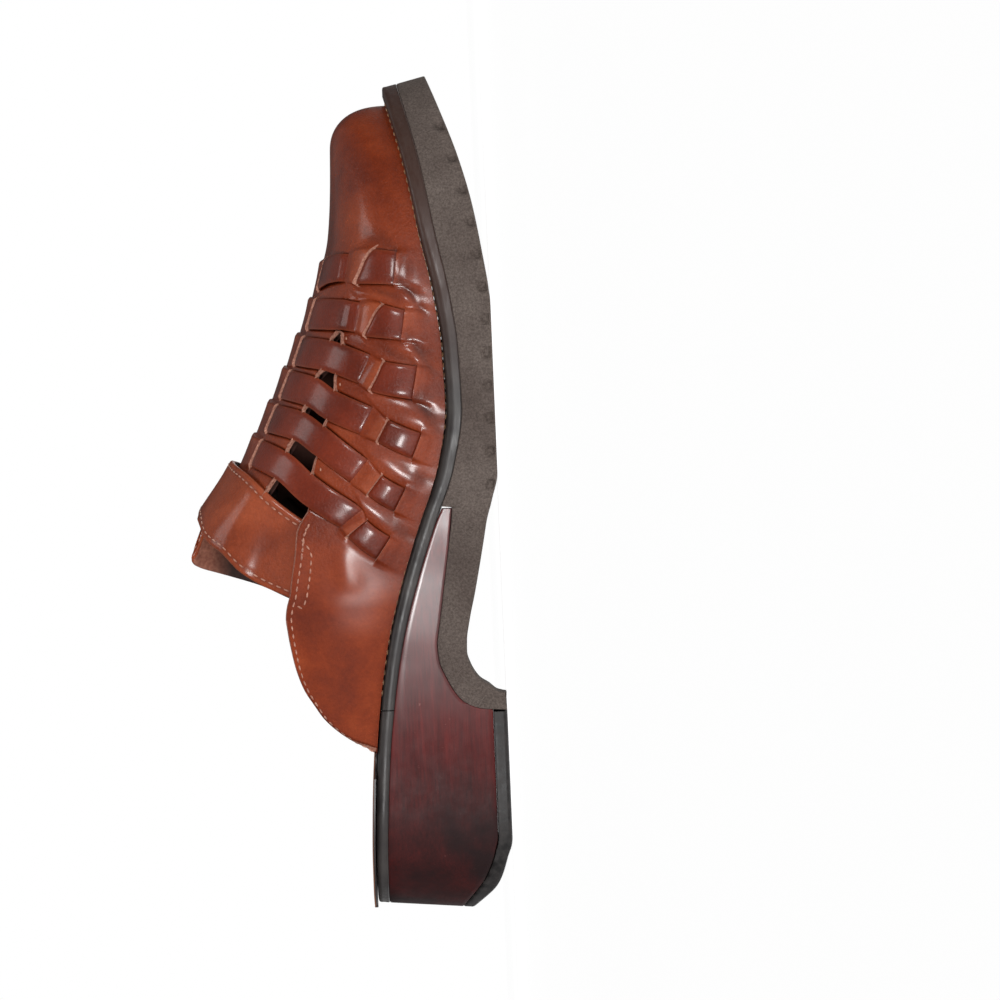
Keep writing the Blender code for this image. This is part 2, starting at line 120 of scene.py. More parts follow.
def smooth(xs, ys, x):
    """Smooth curve through the points that never swings past them."""
    last = len(xs) - 2
    i = 0
    rising = xs[-1] > xs[0]
    while i < last and (x > xs[i + 1]) == rising and x != xs[i + 1]:
        i += 1
    rises = [(ys[k + 1] - ys[k]) / (xs[k + 1] - xs[k]) for k in range(max(i - 1, 0), min(i + 1, last) + 1)]
    here = rises[min(i, 1)]
    before = rises[0] if i > 0 else here
    after = rises[-1] if i < last else here
    lean_in = (2 * before * here / (before + here) if before * here > 0 else 0.0) if i > 0 else here
    lean_out = (2 * here * after / (here + after) if here * after > 0 else 0.0) if i < last else here
    step = xs[i + 1] - xs[i]
    t = clamp((x - xs[i]) / step)
    start = ys[i] * (1 + 2 * t) * (1 - t) ** 2 + lean_in * step * t * (1 - t) ** 2
    return start + ys[i + 1] * t * t * (3 - 2 * t) + lean_out * step * t * t * (t - 1)


def clamp(share):
    """Keeps a share between 0 and 1."""
    return min(max(share, 0.0), 1.0)


def ease(low, high, x):
    """0 below low, 1 above high, with soft ends."""
    t = clamp((x - low) / (high - low))
    return t * t * (3 - 2 * t)


def section(name, at):
    """A column of the last's sections."""
    return smooth(SECTION["along"], SECTION[name], at / LENGTH)


def outline(side, turn):
    """Half of the sole's outline; turn runs 0 to pi from heel to toe, where both ends close round."""
    return BALL_WIDTH * smooth(TURNS, SECTION["outer" if side < 0 else "inner"], turn)


def spot(x, at, height):
    """World position from the heel's middle line and the distance to the heel back."""
    return Vector((x + MIDDLE_SHIFT, LENGTH / 2 - at, height))


def feather(at):
    """Height of the sole's top edge."""
    return HEEL_HEIGHT * section("feather", at)


def band_underside(at):
    """Height of the lower edge of the welt and heel rand."""
    return feather(at) - BAND_BACK - (BAND_FRONT - BAND_BACK) * clamp(at / (LENGTH / 2))


def flank(side, at, height, inset):
    """Point on the sole's flank, moved in square to the outline."""
    tip = LENGTH - TOE_RAKE * clamp((height - TOE_LIFT) / TOE_FACE)
    back = BACK_LEAN * clamp((height - BACK_ROLL) / (HEEL_HEIGHT - BACK_ROLL))
    at = back if at < back + HEEL_SNAP else min(at, tip)
    turn = math.acos(1 - 2 * (at - back) / (tip - back))
    rise = clamp(height / feather(at))
    front = clamp((at / LENGTH - WAIST) / WAIST_LENGTH)
    taper = (1 - front) * HEEL_TAPER * (1 - rise) + front * FORE_TAPER * rise
    behind, ahead = max(turn - TURN_STEP, 0.0), min(turn + TURN_STEP, math.pi)
    across = outline(side, ahead) - outline(side, behind)
    forward = (tip - back) * (math.cos(behind) - math.cos(ahead)) / 2
    run = math.hypot(across, forward)
    x = outline(side, turn) * (1 - taper) - side * inset * forward / run
    return spot(x, at + side * inset * across / run, height)


def sole_rows(table, between, closing):
    """Cross-lines of a sole piece, with more rows in between, closer where an end closes round."""
    lines = [[scale * value if value is not None else band_underside(LENGTH * row[2])
              for value, scale in zip(row, (LENGTH, HEEL_HEIGHT, LENGTH, HEEL_HEIGHT))] for row in table]
    numbers = list(range(len(table)))
    places = []
    for number in numbers[:-1]:
        for k in range(between):
            share = k / between
            if number == 0 and closing == "toe":
                share = 1 - math.cos(math.pi / 2 * share)
            if number == numbers[-2] and closing == "heel":
                share = math.sin(math.pi / 2 * share)
            places.append(number + share)
    places.append(numbers[-1])
    rows = []
    for place in places:
        row = [smooth(numbers, column, place) for column in zip(*lines)]
        if table[math.floor(place)][3] is None and table[math.ceil(place)][3] is None:
            row[3] = band_underside(row[2])
        rows.append(row)
    return rows


def double_sheet(work, lengths, columns):
    """Grid with a second one over it, joined at the rim: pairs of 0 or 1 for which, and a corner."""
    corners, faces = len(work.verts), len(work.faces)
    bmesh.ops.create_grid(work, x_segments=lengths, y_segments=columns, size=0.5)
    low = work.verts[corners:]
    raised = bmesh.ops.extrude_face_region(work, geom=work.faces[faces:], use_keep_orig=True)
    high = [item for item in raised["geom"] if isinstance(item, bmesh.types.BMVert)]
    return [(0, corner) for corner in low] + [(1, corner) for corner in high]


def face_outwards(work):
    bmesh.ops.recalc_face_normals(work, faces=work.faces[:])
    if work.calc_volume(signed=True) < 0:
        bmesh.ops.reverse_faces(work, faces=work.faces[:])


def sole_layer(rows, low_rim=lambda at: CRISP_RIM, high_rim=lambda at: CRISP_RIM, cuts=5,
               dents=lambda at, up: 0.0):
    """Closed layer of the sole between two sets of cross-line edges, with rounded rims.

    low_rim and high_rim give (inset, fall) pairs for a place along the foot. dents gives how far the
    flank is pressed in at a place and a height over the lower edge, in millimetres.
    """
    work = bmesh.new()
    row_of, side_of, share_of = (work.verts.layers.float.new(name) for name in ("row", "side", "share"))
    rings = len(low_rim(0))
    columns = 2 * rings + 2
    outer = set()
    for level, corner in double_sheet(work, len(rows) - 1, columns - 1):
        number = round((corner.co.x + 0.5) * (len(rows) - 1))
        at, height = rows[number][2 * level:2 * level + 2]
        column = round((corner.co.y + 0.5) * (columns - 1))
        ring = min(column, columns - 1 - column)
        if ring == 0:
            outer.add(corner)
        side = -1 if column < columns / 2 else 1
        corner[row_of], corner[side_of], corner[share_of] = number, side, level
        inset, fall = (high_rim if level else low_rim)(at)[min(ring, rings - 1)]
        height += -fall * MM if level else fall * MM
        near, far = (flank(way, at, height, inset * MM) for way in (side, -side))
        corner.co = near.lerp(far, 0.0 if ring < rings else 1 / 3)
    upright = [edge for edge in work.edges if edge.verts[0] in outer and edge.verts[1] in outer
               and edge.verts[0][share_of] != edge.verts[1][share_of]]
    split = bmesh.ops.subdivide_edges(work, edges=upright, cuts=cuts, use_grid_fill=True)
    for corner in [item for item in split["geom_inner"] if isinstance(item, bmesh.types.BMVert)]:
        low_at, low_height, high_at, high_height = rows[round(corner[row_of])]
        (low_inset, rise), (high_inset, fall) = low_rim(low_at)[0], high_rim(high_at)[0]
        share = corner[share_of] ** BULGE
        at = low_at + (high_at - low_at) * share
        up = (high_height - low_height - (rise + fall) * MM) * share + rise * MM
        inset = low_inset + (high_inset - low_inset) * share + dents(at, up / MM)
        corner.co = flank(corner[side_of], at, low_height + up, inset * MM)
    bmesh.ops.remove_doubles(work, verts=work.verts[:], dist=0.002 * MM)
    bmesh.ops.dissolve_degenerate(work, edges=work.edges[:], dist=0.001 * MM)
    face_outwards(work)
    return work


def put_in_scene(name, data):
    made = bpy.data.objects.new(name, data)
    bpy.context.collection.objects.link(made)
    return made


def make_piece(name, work, *finishes, sharp=35):
    """Turns a bmesh into a smooth-shaded piece that rides on the shoe."""
    mesh = bpy.data.meshes.new(name)
    work.to_mesh(mesh)
    work.free()
    for finish in finishes:
        mesh.materials.append(finish)
    mesh.shade_smooth()
    mesh.set_sharp_from_angle(angle=math.radians(sharp))
    piece = put_in_scene(name, mesh)
    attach(piece, "root")
    return piece


def shade(code):
    """Linear colour from an sRGB hex value."""
    parts = [int(code[k:k + 2], 16) / 255 for k in (1, 3, 5)]
    return (*((p / 12.92 if p <= 0.04045 else ((p + 0.055) / 1.055) ** 2.4) for p in parts), 1.0)


def plug(node, inputs):
    """Gives a node its inputs: each is a value, a hex colour or another node's socket."""
    for name, value in inputs.items():
        if isinstance(value, bpy.types.NodeSocket):
            node.id_data.links.new(value, node.inputs[name])
        else:
            node.inputs[name].default_value = shade(value) if isinstance(value, str) else value


def add(tree, kind, inputs, output=0, stops=(), **settings):
    """Adds a node with its settings, ramp stops and inputs, and gives its output socket."""
    made = tree.nodes.new("ShaderNode" + kind)
    for name, value in settings.items():
        setattr(made, name, value)
    for number, (place, colour) in enumerate(stops):
        ramp = made.color_ramp.elements
        stop = ramp[number] if number < 2 else ramp.new(place)
        stop.position, stop.color = place, shade(colour)
    plug(made, inputs)
    return made.outputs[output]


def dress(tree, **inputs):
    """Sets the Principled shader's own sockets, or links patterns to them."""
    plug(tree.nodes["Principled BSDF"], {name.replace("_", " "): made for name, made in inputs.items()})


def new_finish(name, **values):
    """Material with uniform values on its shader; gives it, its nodes and the place in metres."""
    finish = bpy.data.materials.new(name)
    finish.use_nodes = True
    dress(finish.node_tree, **values)
    return finish, finish.node_tree, add(finish.node_tree, "TexCoord", {}, "Object")


def groove_off(at):
    """Distance in millimetres from the nearest tread groove."""
    nearest = min(max(round((at - GROOVE_FIRST) / GROOVE_PITCH), 0), GROOVE_COUNT - 1)
    return abs(at - GROOVE_FIRST - nearest * GROOVE_PITCH) / MM


def tread_rim(at):
    """Lower rim of the outsole: the grooves start just inside it."""
    half = GROOVE_WIDTH / 2
    deep = GROOVE_DEPTH * (1 - ease(GROOVE_FLOOR * half, half, groove_off(at)))
    return CRISP_RIM[:3] + ((1.7, 0.0), (2.2, deep), (9.0, deep))


def lug_dents(at, up):
    """Hollows pressed into the flank over the grooves."""
    off, over = groove_off(at) / DENT_LENGTH, (up - DENT_UP) / DENT_HEIGHT
    return DENT_DEPTH * math.exp(-off ** 4 - over ** 4)


# Carbon-filled rubber, moulded and buffed: a dull grey-brown with grit about 0.7 mm across, paler
# where dust has rubbed in. The grit is coarser under the arch, where the sheet isn't buffed.
outsole_rubber, tree, where = new_finish("buffed_sole_rubber", Roughness=0.75, IOR=1.5,
                                         Specular_IOR_Level=0.22)
cloud = add(tree, "TexNoise", {"Vector": where, "Scale": 60.0, "Detail": 6.0})
tone = add(tree, "ValToRGB", {0: cloud}, stops=((0.2, "#4a3f3a"), (0.8, "#645a54")))
grit = add(tree, "TexNoise", {"Vector": where, "Scale": 1500.0, "Detail": 4.0, "Roughness": 0.7})
specks = add(tree, "ValToRGB", {0: grit}, stops=((0.38, "#7c726c"), (0.64, "#ffffff")))
dusty = add(tree, "Mix", {0: 0.6, 6: tone, 7: specks}, 2, data_type='RGBA', blend_type='MULTIPLY')
along = add(tree, "SeparateXYZ", {0: where}, "Y")
rough_part = add(tree, "MapRange", {0: along, 1: 0.0, 2: 0.012, 3: 0.45, 4: 1.0})
bumps = add(tree, "Bump", {"Strength": rough_part, "Distance": 0.45 * MM, "Height": grit})
dress(tree, Base_Color=dusty, Normal=bumps)

sheet = sole_layer(sole_rows(OUTSOLE_ROWS, 24, "toe"), tread_rim,
                   lambda at: CRISP_RIM + ((2.2, 0.0), (9.0, 0.0)), 12, lug_dents)
outsole = make_piece("outsole_sheet", sheet, outsole_rubber)
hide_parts("outsole")

# ---- Top lift ----
# Wear layer of hard rubber, 4 mm thick, glued and nailed under the heel block. It rolls up at the
# back, where the heel strikes, and its rims are worn round.
LIFT_ROWS = (
    (0.235, 0.000, 0.235, 0.0995),
    (0.151, 0.000, 0.151, 0.0995),
    (0.083, 0.000, 0.087, 0.0995),
    (0.058, 0.038, 0.066, 0.1245),
    (0.029, 0.100, 0.037, 0.1945),
    (0.000, 0.278, 0.0013, 0.3645),
)

# Hard wear rubber, pressed smooth: near black, with a soft shine and scuffs 2 mm across.
lift_rubber, tree, where = new_finish("pressed_wear_rubber", IOR=1.5, Specular_IOR_Level=0.3)
scuffs = add(tree, "TexNoise", {"Vector": where, "Scale": 420.0, "Detail": 8.0})
tone = add(tree, "ValToRGB", {0: scuffs}, stops=((0.35, "#0e0c0c"), (0.75, "#2b2726")))
gloss = add(tree, "MapRange", {0: scuffs, 1: 0.35, 2: 0.7, 3: 0.38, 4: 0.62})
bumps = add(tree, "Bump", {"Strength": 0.4, "Distance": 0.2 * MM, "Height": scuffs})
dress(tree, Base_Color=tone, Roughness=gloss, Normal=bumps)

lift = make_piece("top_lift_layer", sole_layer(sole_rows(LIFT_ROWS, 14, "heel"), lambda at: WORN_RIM),
                  lift_rubber)
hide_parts("top_lift")

# ---- Heel wedge ----
# Moulded block with its tip under the arch, finished to look like stacked wood. Its lacquer is burgundy
# and rubbed pale in places; towards the back it is painted almost black in uneven patches, as shade.
WEDGE_ROWS = (
    (0.479, 0.331, 0.479, 0.400),
    (0.457, 0.347, 0.457, None),
    (0.434, 0.364, 0.430, None),
    (0.385, 0.409, 0.385, None),
    (0.347, 0.444, 0.347, None),
    (0.317, 0.471, 0.320, None),
    (0.298, 0.462, 0.302, None),
    (0.279, 0.420, 0.285, None),
    (0.262, 0.367, 0.264, None),
    (0.249, 0.304, 0.247, None),
    (0.240, 0.189, 0.234, None),
    (0.237, 0.100, 0.223, None),
    (0.189, 0.100, 0.189, None),
    (0.140, 0.100, 0.142, None),
    (0.091, 0.100, 0.091, None),
    (0.068, 0.125, 0.064, None),
    (0.038, 0.195, 0.032, None),
    (0.0013, 0.365, 0.0095, None),
)

# Lacquered wood-look block: burgundy with thin dark grain lines, drawn 0.8 mm apart so that they show,
# that run the length of the foot, and pale scuffs. The waist is buffed to a shine; the back is matt.
wood_look, tree, where = new_finish("lacquered_wood_look", IOR=1.5, Specular_IOR_Level=0.16,
                                     Coat_Roughness=0.27)
stretched = add(tree, "Mapping", {"Vector": where, "Scale": (1.0, 0.045, 1.0)})
grain = add(tree, "TexNoise", {"Vector": stretched, "Scale": 1300.0, "Detail": 6.0, "Roughness": 0.65})
broad = add(tree, "TexNoise", {"Vector": stretched, "Scale": 260.0, "Detail": 4.0})
shade_patches = add(tree, "TexNoise", {"Vector": where, "Scale": 60.0, "Detail": 4.0})
lines = add(tree, "ValToRGB", {0: grain}, stops=((0.25, "#3a0c0d"), (0.75, "#611b18")))
bands = add(tree, "ValToRGB", {0: broad}, stops=((0.3, "#a58684"), (0.7, "#ffffff")))
grained = add(tree, "Mix", {0: 0.8, 6: lines, 7: bands}, 2, data_type='RGBA', blend_type='MULTIPLY')
along = add(tree, "SeparateXYZ", {0: where}, "Y")
# Towards the back the colour is darkened in uneven patches: painted shade.
shade_to_back = add(tree, "MapRange", {0: along, 1: 0.068, 2: 0.116, 3: 0.0, 4: 0.85},
              interpolation_type='SMOOTHSTEP')
uneven_shade = add(tree, "Math", {0: shade_to_back, 1: shade_patches}, operation='MULTIPLY')
darken = add(tree, "Math", {0: uneven_shade, 1: 1.9}, operation='MULTIPLY', use_clamp=True)
back_shaded = add(tree, "Mix", {0: darken, 6: grained, 7: "#1a0a0b"}, 2, data_type='RGBA')
chips = add(tree, "TexNoise", {"Vector": where, "Scale": 230.0, "Detail": 9.0, "Roughness": 0.72})
scuffed = add(tree, "MapRange", {0: chips, 1: 0.66, 2: 0.74, 3: 0.0, 4: 0.5})
worn = add(tree, "Mix", {0: scuffed, 6: back_shaded, 7: "#9a6f6b"}, 2, data_type='RGBA')
buffed = add(tree, "MapRange", {0: along, 1: 0.042, 2: 0.084, 3: 1.0, 4: 0.0},
             interpolation_type='SMOOTHSTEP')
gloss = add(tree, "MapRange", {0: chips, 1: 0.3, 2: 0.7, 3: 0.45, 4: 0.65})
bumps = add(tree, "Bump", {"Strength": 0.3, "Distance": 0.12 * MM, "Height": grain})
dress(tree, Base_Color=worn, Coat_Weight=buffed, Roughness=gloss, Normal=bumps)

wedge = make_piece("heel_block", sole_layer(sole_rows(WEDGE_ROWS, 14, "heel"), cuts=9), wood_look)
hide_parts("heel_wedge")

# ---- Welt and heel rand ----
# One rubber strip round the edge of the upper, rounded at the waist and cut square round the toe.
# It stops at a butt seam on each flank; a thinner rand carries on under the heel seat.
TOE_BAND_START, WELT_END, RAND_BACK = 262 * MM, 64 * MM, 2.84 * MM
SEAM = 0.3 * MM
TOE_CRISP, HEEL_CRISP = (196 * MM, 246 * MM), (2 * MM, 40 * MM)   # where the rim's two shapes blend
END_CLOSING = 1.7       # how much closer the band's rows lie where an end closes round
RAKE_START, RAKE_LENGTH, LEAN_LENGTH = 0.8, 0.175, 10 * MM
ROUND_RIM = ((0.0, 2.7), (0.12, 1.9), (0.45, 1.15), (1.0, 0.6), (1.9, 0.2), (3.2, 0.0))
CRISP_BAND_RIM = ((0.0, 0.8), (0.15, 0.3), (0.5, 0.08), (1.0, 0.0), (1.9, 0.0), (3.2, 0.0))
UNDER_RIM = ((0.25, 0.0), (0.0, 0.35), (0.6, 0.0), (1.2, 0.0), (2.0, 0.0), (3.4, 0.0))


def band_rim(at):
    """Top rim of the band: rounded at the waist, crisp round the toe and the heel."""
    share = max(ease(*TOE_CRISP, at), 1 - ease(*HEEL_CRISP, at))
    return [(inset + (other_inset - inset) * share, fall + (other_fall - fall) * share)
            for (inset, fall), (other_inset, other_fall) in zip(ROUND_RIM, CRISP_BAND_RIM)]


def band_rows(front, back, count, closing):
    """Rows of the band under the feather line, closer where an end closes round."""
    rows = []
    for k in range(count + 1):
        share = k / count
        share = share ** END_CLOSING if closing == "toe" else 1 - (1 - share) ** END_CLOSING
        at = front + (back - front) * share
        low_at = at + TOE_RAKE * BAND_FRONT / TOE_FACE * max(0.0, (at / LENGTH - RAKE_START) / RAKE_LENGTH)
        heel_lean = BACK_LEAN * (feather(at) - band_underside(at)) / (HEEL_HEIGHT - BACK_ROLL)
        low_at -= heel_lean * max(0.0, 1 - (at - RAND_BACK) / LEAN_LENGTH)
        rows.append((low_at, band_underside(low_at), at, feather(at)))
    return rows


# Extruded welt rubber: grey-black and smooth, browned by polish round the toe, with a satin shine
# and lines along it, drawn 1.4 mm apart so that they show.
welt_rubber, tree, where = new_finish("extruded_welt_rubber", IOR=1.5, Specular_IOR_Level=0.36)
drawn = add(tree, "Mapping", {"Vector": where, "Scale": (1.0, 0.12, 1.0)})
lines = add(tree, "TexNoise", {"Vector": drawn, "Scale": 700.0, "Detail": 5.0})
cloud = add(tree, "TexNoise", {"Vector": where, "Scale": 110.0, "Detail": 4.0})
tone = add(tree, "ValToRGB", {0: cloud}, stops=((0.3, "#1d1919"), (0.75, "#34302e")))
along = add(tree, "SeparateXYZ", {0: where}, "Y")
to_toe = add(tree, "MapRange", {0: along, 1: -0.028, 2: -0.070, 3: 0.0, 4: 0.8})
browned = add(tree, "Mix", {0: to_toe, 6: tone, 7: "#38231b"}, 2, data_type='RGBA')
gloss = add(tree, "MapRange", {0: lines, 1: 0.3, 2: 0.7, 3: 0.34, 4: 0.50})
bumps = add(tree, "Bump", {"Strength": 0.5, "Distance": 0.18 * MM, "Height": lines})
dress(tree, Base_Color=browned, Roughness=gloss, Normal=bumps)

strips = [sole_layer(rows, lambda at: UNDER_RIM, band_rim)
          for rows in (band_rows(TOE_BAND_START, WELT_END + SEAM / 2, 260, "toe"),
                       band_rows(WELT_END - SEAM / 2, RAND_BACK, 90, "heel"))]
welt = make_piece("welt_strip", strips[0], welt_rubber)
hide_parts("welt")
rand = make_piece("rand_strip", strips[1], welt_rubber)
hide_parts("heel_rand")

# ---- Insole ----
# Leather footbed on the sole, inside the upper in front and bare over the heel seat. Its top is a
# little crowned and mottled darker in patches.
GAP = 0.3 * MM
MARGIN = 0.91
UPPER_START, UPPER_TIP = 6 * MM, 256 * MM
WALL, INSOLE_THICKNESS, INSOLE_CLEARANCE, INSOLE_END = 2.2 * MM, 1.1 * MM, 1.2 * MM, 1.2 * MM
SEAT_START, SEAT_FULL = 48 * MM, 43 * MM   # behind the upper the footbed widens to the rand's edge
RAND_SHOWS = 0.3 * MM                      # how much of the rand is left bare beside it
CROWN_EDGE, CROWN_SHAPE = 0.55, 0.35       # thickness at its edge as a share, and how round its top is

# Vegetable-tanned sock leather, worn by the foot: tan, matt, with a fine grain 0.7 mm across and
# brown mottling.
sock_leather, tree, where = new_finish("tanned_sock_leather", Roughness=0.62, IOR=1.5)
cloud = add(tree, "TexNoise", {"Vector": where, "Scale": 45.0, "Detail": 5.0})
tone = add(tree, "ValToRGB", {0: cloud}, stops=((0.3, "#6d3a22"), (0.72, "#a8693f")))
pores = add(tree, "TexNoise", {"Vector": where, "Scale": 1400.0, "Detail": 2.0})
bumps = add(tree, "Bump", {"Strength": 0.35, "Distance": 0.25 * MM, "Height": pores})
dress(tree, Base_Color=tone, Normal=bumps)

# Cut edge of the footbed, inked dark brown and waxed.
stained_edge, tree, where = new_finish("inked_leather_edge", Roughness=0.45, IOR=1.5)
ink = add(tree, "TexNoise", {"Vector": where, "Scale": 500.0, "Detail": 4.0})
tone = add(tree, "ValToRGB", {0: ink}, stops=((0.3, "#0e0a09"), (0.7, "#231815")))
dress(tree, Base_Color=tone)

work = bmesh.new()
insole_front = UPPER_TIP - WALL - 2 * INSOLE_CLEARANCE
for level, corner in double_sheet(work, 90, 14):
    turn = math.pi * (corner.co.x + 0.5)
    at = INSOLE_END + (insole_front - INSOLE_END) * (1 - math.cos(turn)) / 2
    middle = MARGIN * (outline(-1, turn) + outline(1, turn)) / 2
    open_seat = 1 - ease(SEAT_FULL, SEAT_START, at)
    rim_at = BACK_LEAN + (at - INSOLE_END) * (SEAT_FULL - BACK_LEAN) / (SEAT_FULL - INSOLE_END)
    sides = []
    for side in (-1, 1):
        inside = MARGIN * outline(side, turn) - side * (WALL + INSOLE_CLEARANCE)
        inside = side * max(side * inside, side * middle)
        rim = flank(side, rim_at, feather(rim_at), RAND_SHOWS).x - MIDDLE_SHIFT
        sides.append(inside + (rim - inside) * open_seat)
    across = corner.co.y + 0.5
    crown = CROWN_EDGE + (1 - CROWN_EDGE) * (4 * across * (1 - across)) ** CROWN_SHAPE
    corner.co = spot((1 - across) * sides[0] + across * sides[1], at,
                     feather(at) + GAP + level * INSOLE_THICKNESS * crown)
bmesh.ops.remove_doubles(work, verts=work.verts[:], dist=0.002 * MM)
face_outwards(work)
for face in work.faces:
    face.material_index = 1 if face.normal.z < 0.5 else 0
footbed = make_piece("footbed", work, sock_leather, stained_edge)
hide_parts("insole")

# ---- Woven straps ----
# Twelve leather straps, six on each side, 10 mm wide with turned edges. Each comes up through a slit
# low on the side panel, dives under a bridge of the panel, rises over the slot and dives again into
# a slit in the centre band.
INSTEP_HEIGHT = 0.098
RIDGE_X, WALL_SHAPE, TOE_ROUND, TOE_SHAPE = 5 * MM, 2.4, 14 * MM, 2.5
LAST_STEPS = 1500
# Stations of a strap from the sole to the ridge: it comes out at the tuck and goes in at the dive.
SOLE, LIP, TUCK, RISE, PANEL_EDGE, BAND_EDGE, DIVE, RIDGE = range(8)
# Middle of each strap at the stations, toe to heel: millimetres along the foot, share up the wall.
STRAP_ALONG = (
    (202.6, 203.4, 204.4, 204.3, 204.2, 204.0, 202.6, 201.5),
    (184.0, 185.3, 187.5, 188.4, 189.0, 189.2, 190.3, 190.8),
    (165.2, 166.9, 169.6, 171.9, 175.3, 176.7, 178.8, 179.8),
    (144.6, 147.1, 152.5, 155.6, 161.0, 165.4, 168.4, 169.6),
    (127.2, 130.3, 135.6, 140.0, 149.8, 154.8, 157.8, 159.2),
    (111.4, 115.3, 122.2, 125.2, 134.6, 142.6, 147.0, 148.8),
)
STRAP_UP = (
    (0.0, 0.140, 0.358, 0.485, 0.560, 0.640, 0.800, 1.0),
    (0.0, 0.119, 0.269, 0.350, 0.415, 0.437, 0.770, 1.0),
    (0.0, 0.076, 0.216, 0.272, 0.402, 0.482, 0.768, 1.0),
    (0.0, 0.052, 0.166, 0.227, 0.385, 0.511, 0.772, 1.0),
    (0.0, 0.055, 0.140, 0.202, 0.382, 0.516, 0.765, 1.0),
    (0.0, 0.054, 0.138, 0.165, 0.344, 0.521, 0.755, 1.0),
)
INNER_SLOT_RISE = 0.08, 0.15, 0.15, 0.16, 0.17, 0.20   # the big-toe slot lies higher by this
# Widths at the same stations, in millimetres.
STRAP_WIDTHS = (
    (10.8, 11.0, 11.6, 9.2, 9.4, 9.8, 10.6, 10.6),
    (9.6, 9.8, 11.4, 9.7, 9.8, 10.0, 10.4, 10.4),
    (10.6, 10.8, 10.4, 10.0, 10.0, 10.0, 10.0, 10.0),
    (8.6, 8.6, 8.0, 9.6, 9.8, 9.8, 9.8, 9.8),
    (8.3, 8.3, 8.0, 9.3, 9.6, 9.6, 9.6, 9.6),
    (8.6, 8.6, 8.2, 9.3, 9.6, 9.6, 9.4, 9.4),
)
SLIT_LEAN = (0.22, 0.22, 0.09, 0.0, 0.0, 0.0)   # how far the upper slit turns from square, in stations
EDGE_LEAN = (0.0, 0.0, 0.06, 0.07, 0.13, 0.17)  # the same for the panel's edge at the slot, the other way
SLIT_CURVE, SLIT_REACH, EDGE_REACH = 0.4, 0.6, 0.8   # how curved the slit is; stations both turns fade over
SOLE_BLEND, RIDGE_BLEND = 0.6, 0.5      # stations over which its ends turn to the foot's length
# Height of a strap's outer face over the wall, in millimetres, by station.
STRAP_STATIONS = (
    0.86, 1.0, 1.15, 1.5, 1.85, 1.97, 2.1, 2.9, 2.98, 3.05, 3.2, 3.6, 4.5, 5.5, 5.85, 6.0, 6.12)
STRAP_HEIGHTS = (
    -1.3, 0.0, 0.45, 0.95, 0.75, 0.25, -0.6, -0.6, 0.2, 0.5, 0.85, 1.45, 1.55, 1.4, 1.1, -0.1, -0.9)
STRAP_THICKNESS, STRAP_DEEPEST, STRAP_FACE = 1.3, -1.55, 0.12
EDGE_TURN, EDGE_ROUND = 0.55, 7     # how far the edges are turned down, and how narrow the turn is
STRAP_FILL, IN_SLIT = 0.97, 0.06    # share of its width that a strap fills, and of its length in a slit
# A strap's ends in the slits are painted darker, as shade; its edges are rubbed pale.
STRAP_WEAR_AND_SHADE = 0.5                    # how pale its edges are rubbed and how dark its ends are
ALONG_STEP, UP_STEP, UP_BACK, STATION_STEP = 0.5 * MM, 0.004, 0.006, 0.03   # for slopes of the wall

# The last, at closely spaced places from heel to toe: height of its foot and ridge, x of the ridge, the
# two half widths beside it and the roundness of its roof.
LAST = []
for number in range(LAST_STEPS + 1):
    turn = math.pi * number / LAST_STEPS
    share = (1 - math.cos(turn)) / 2
    at = UPPER_START + (UPPER_TIP - UPPER_START) * share
    low = feather(at) + GAP
    over = clamp((at - UPPER_TIP + TOE_ROUND) / TOE_ROUND)
    high = low + (INSTEP_HEIGHT * section("crown", at) - low) * (1 - over ** TOE_SHAPE) ** (1 / TOE_SHAPE)
    ridge = MARGIN * (outline(-1, turn) + outline(1, turn)) / 2 + RIDGE_X * math.sin(math.pi * share)
    LAST.append((low, high, ridge, MARGIN * outline(-1, turn) - ridge, MARGIN * outline(1, turn) - ridge,
                 section("roof", at)))


def skin(at, girth):
    """Point on the upper's outside. girth: -1 outer sole edge, 0 ridge, 1 inner sole edge."""
    share = clamp((at - UPPER_START) / (UPPER_TIP - UPPER_START))
    place = math.acos(1 - 2 * share) / math.pi * LAST_STEPS
    number = min(int(place), LAST_STEPS - 1)
    mix = place - number
    low, high, ridge, outer, inner, roof = (
        here + (there - here) * mix for here, there in zip(LAST[number], LAST[number + 1]))
    turn = (1 - min(abs(girth), 1.0)) * math.pi / 2
    half = outer if girth < 0 else inner
    return spot(ridge + half * math.cos(turn) ** (2 / roof), at,
                low + (high - low) * math.sin(turn) ** (2 / WALL_SHAPE))


def outward(at, girth):
    """Unit normal of the upper's outside."""
    middle = min(max(girth, -0.996), 0.996)
    near = min(at, UPPER_TIP - ALONG_STEP)
    along = skin(near + 0.4 * MM, middle) - skin(near - 0.4 * MM, middle)
    across = skin(near, middle + UP_STEP) - skin(near, middle - UP_STEP)
    return along.cross(across).normalized()


def on_skin(at, girth, lift):
    """Point a distance in millimetres above the upper's outside, along its normal."""
    return skin(at, girth) + outward(at, girth) * lift * MM


def strap_line(row, side):
    """Places along and up of a strap's middle at the stations, on one side of the foot."""
    along, up = list(STRAP_ALONG[row]), list(STRAP_UP[row])
    if side > 0:
        for station in (PANEL_EDGE, BAND_EDGE):
            up[station] += INNER_SLOT_RISE[row]
            share = (up[station] - up[RISE]) / (up[DIVE] - up[RISE])
            along[station] = along[RISE] + (along[DIVE] - along[RISE]) * share
    return along, up


STRAP_LINES = {(row, side): strap_line(row, side) for row in range(6) for side in (-1, 1)}


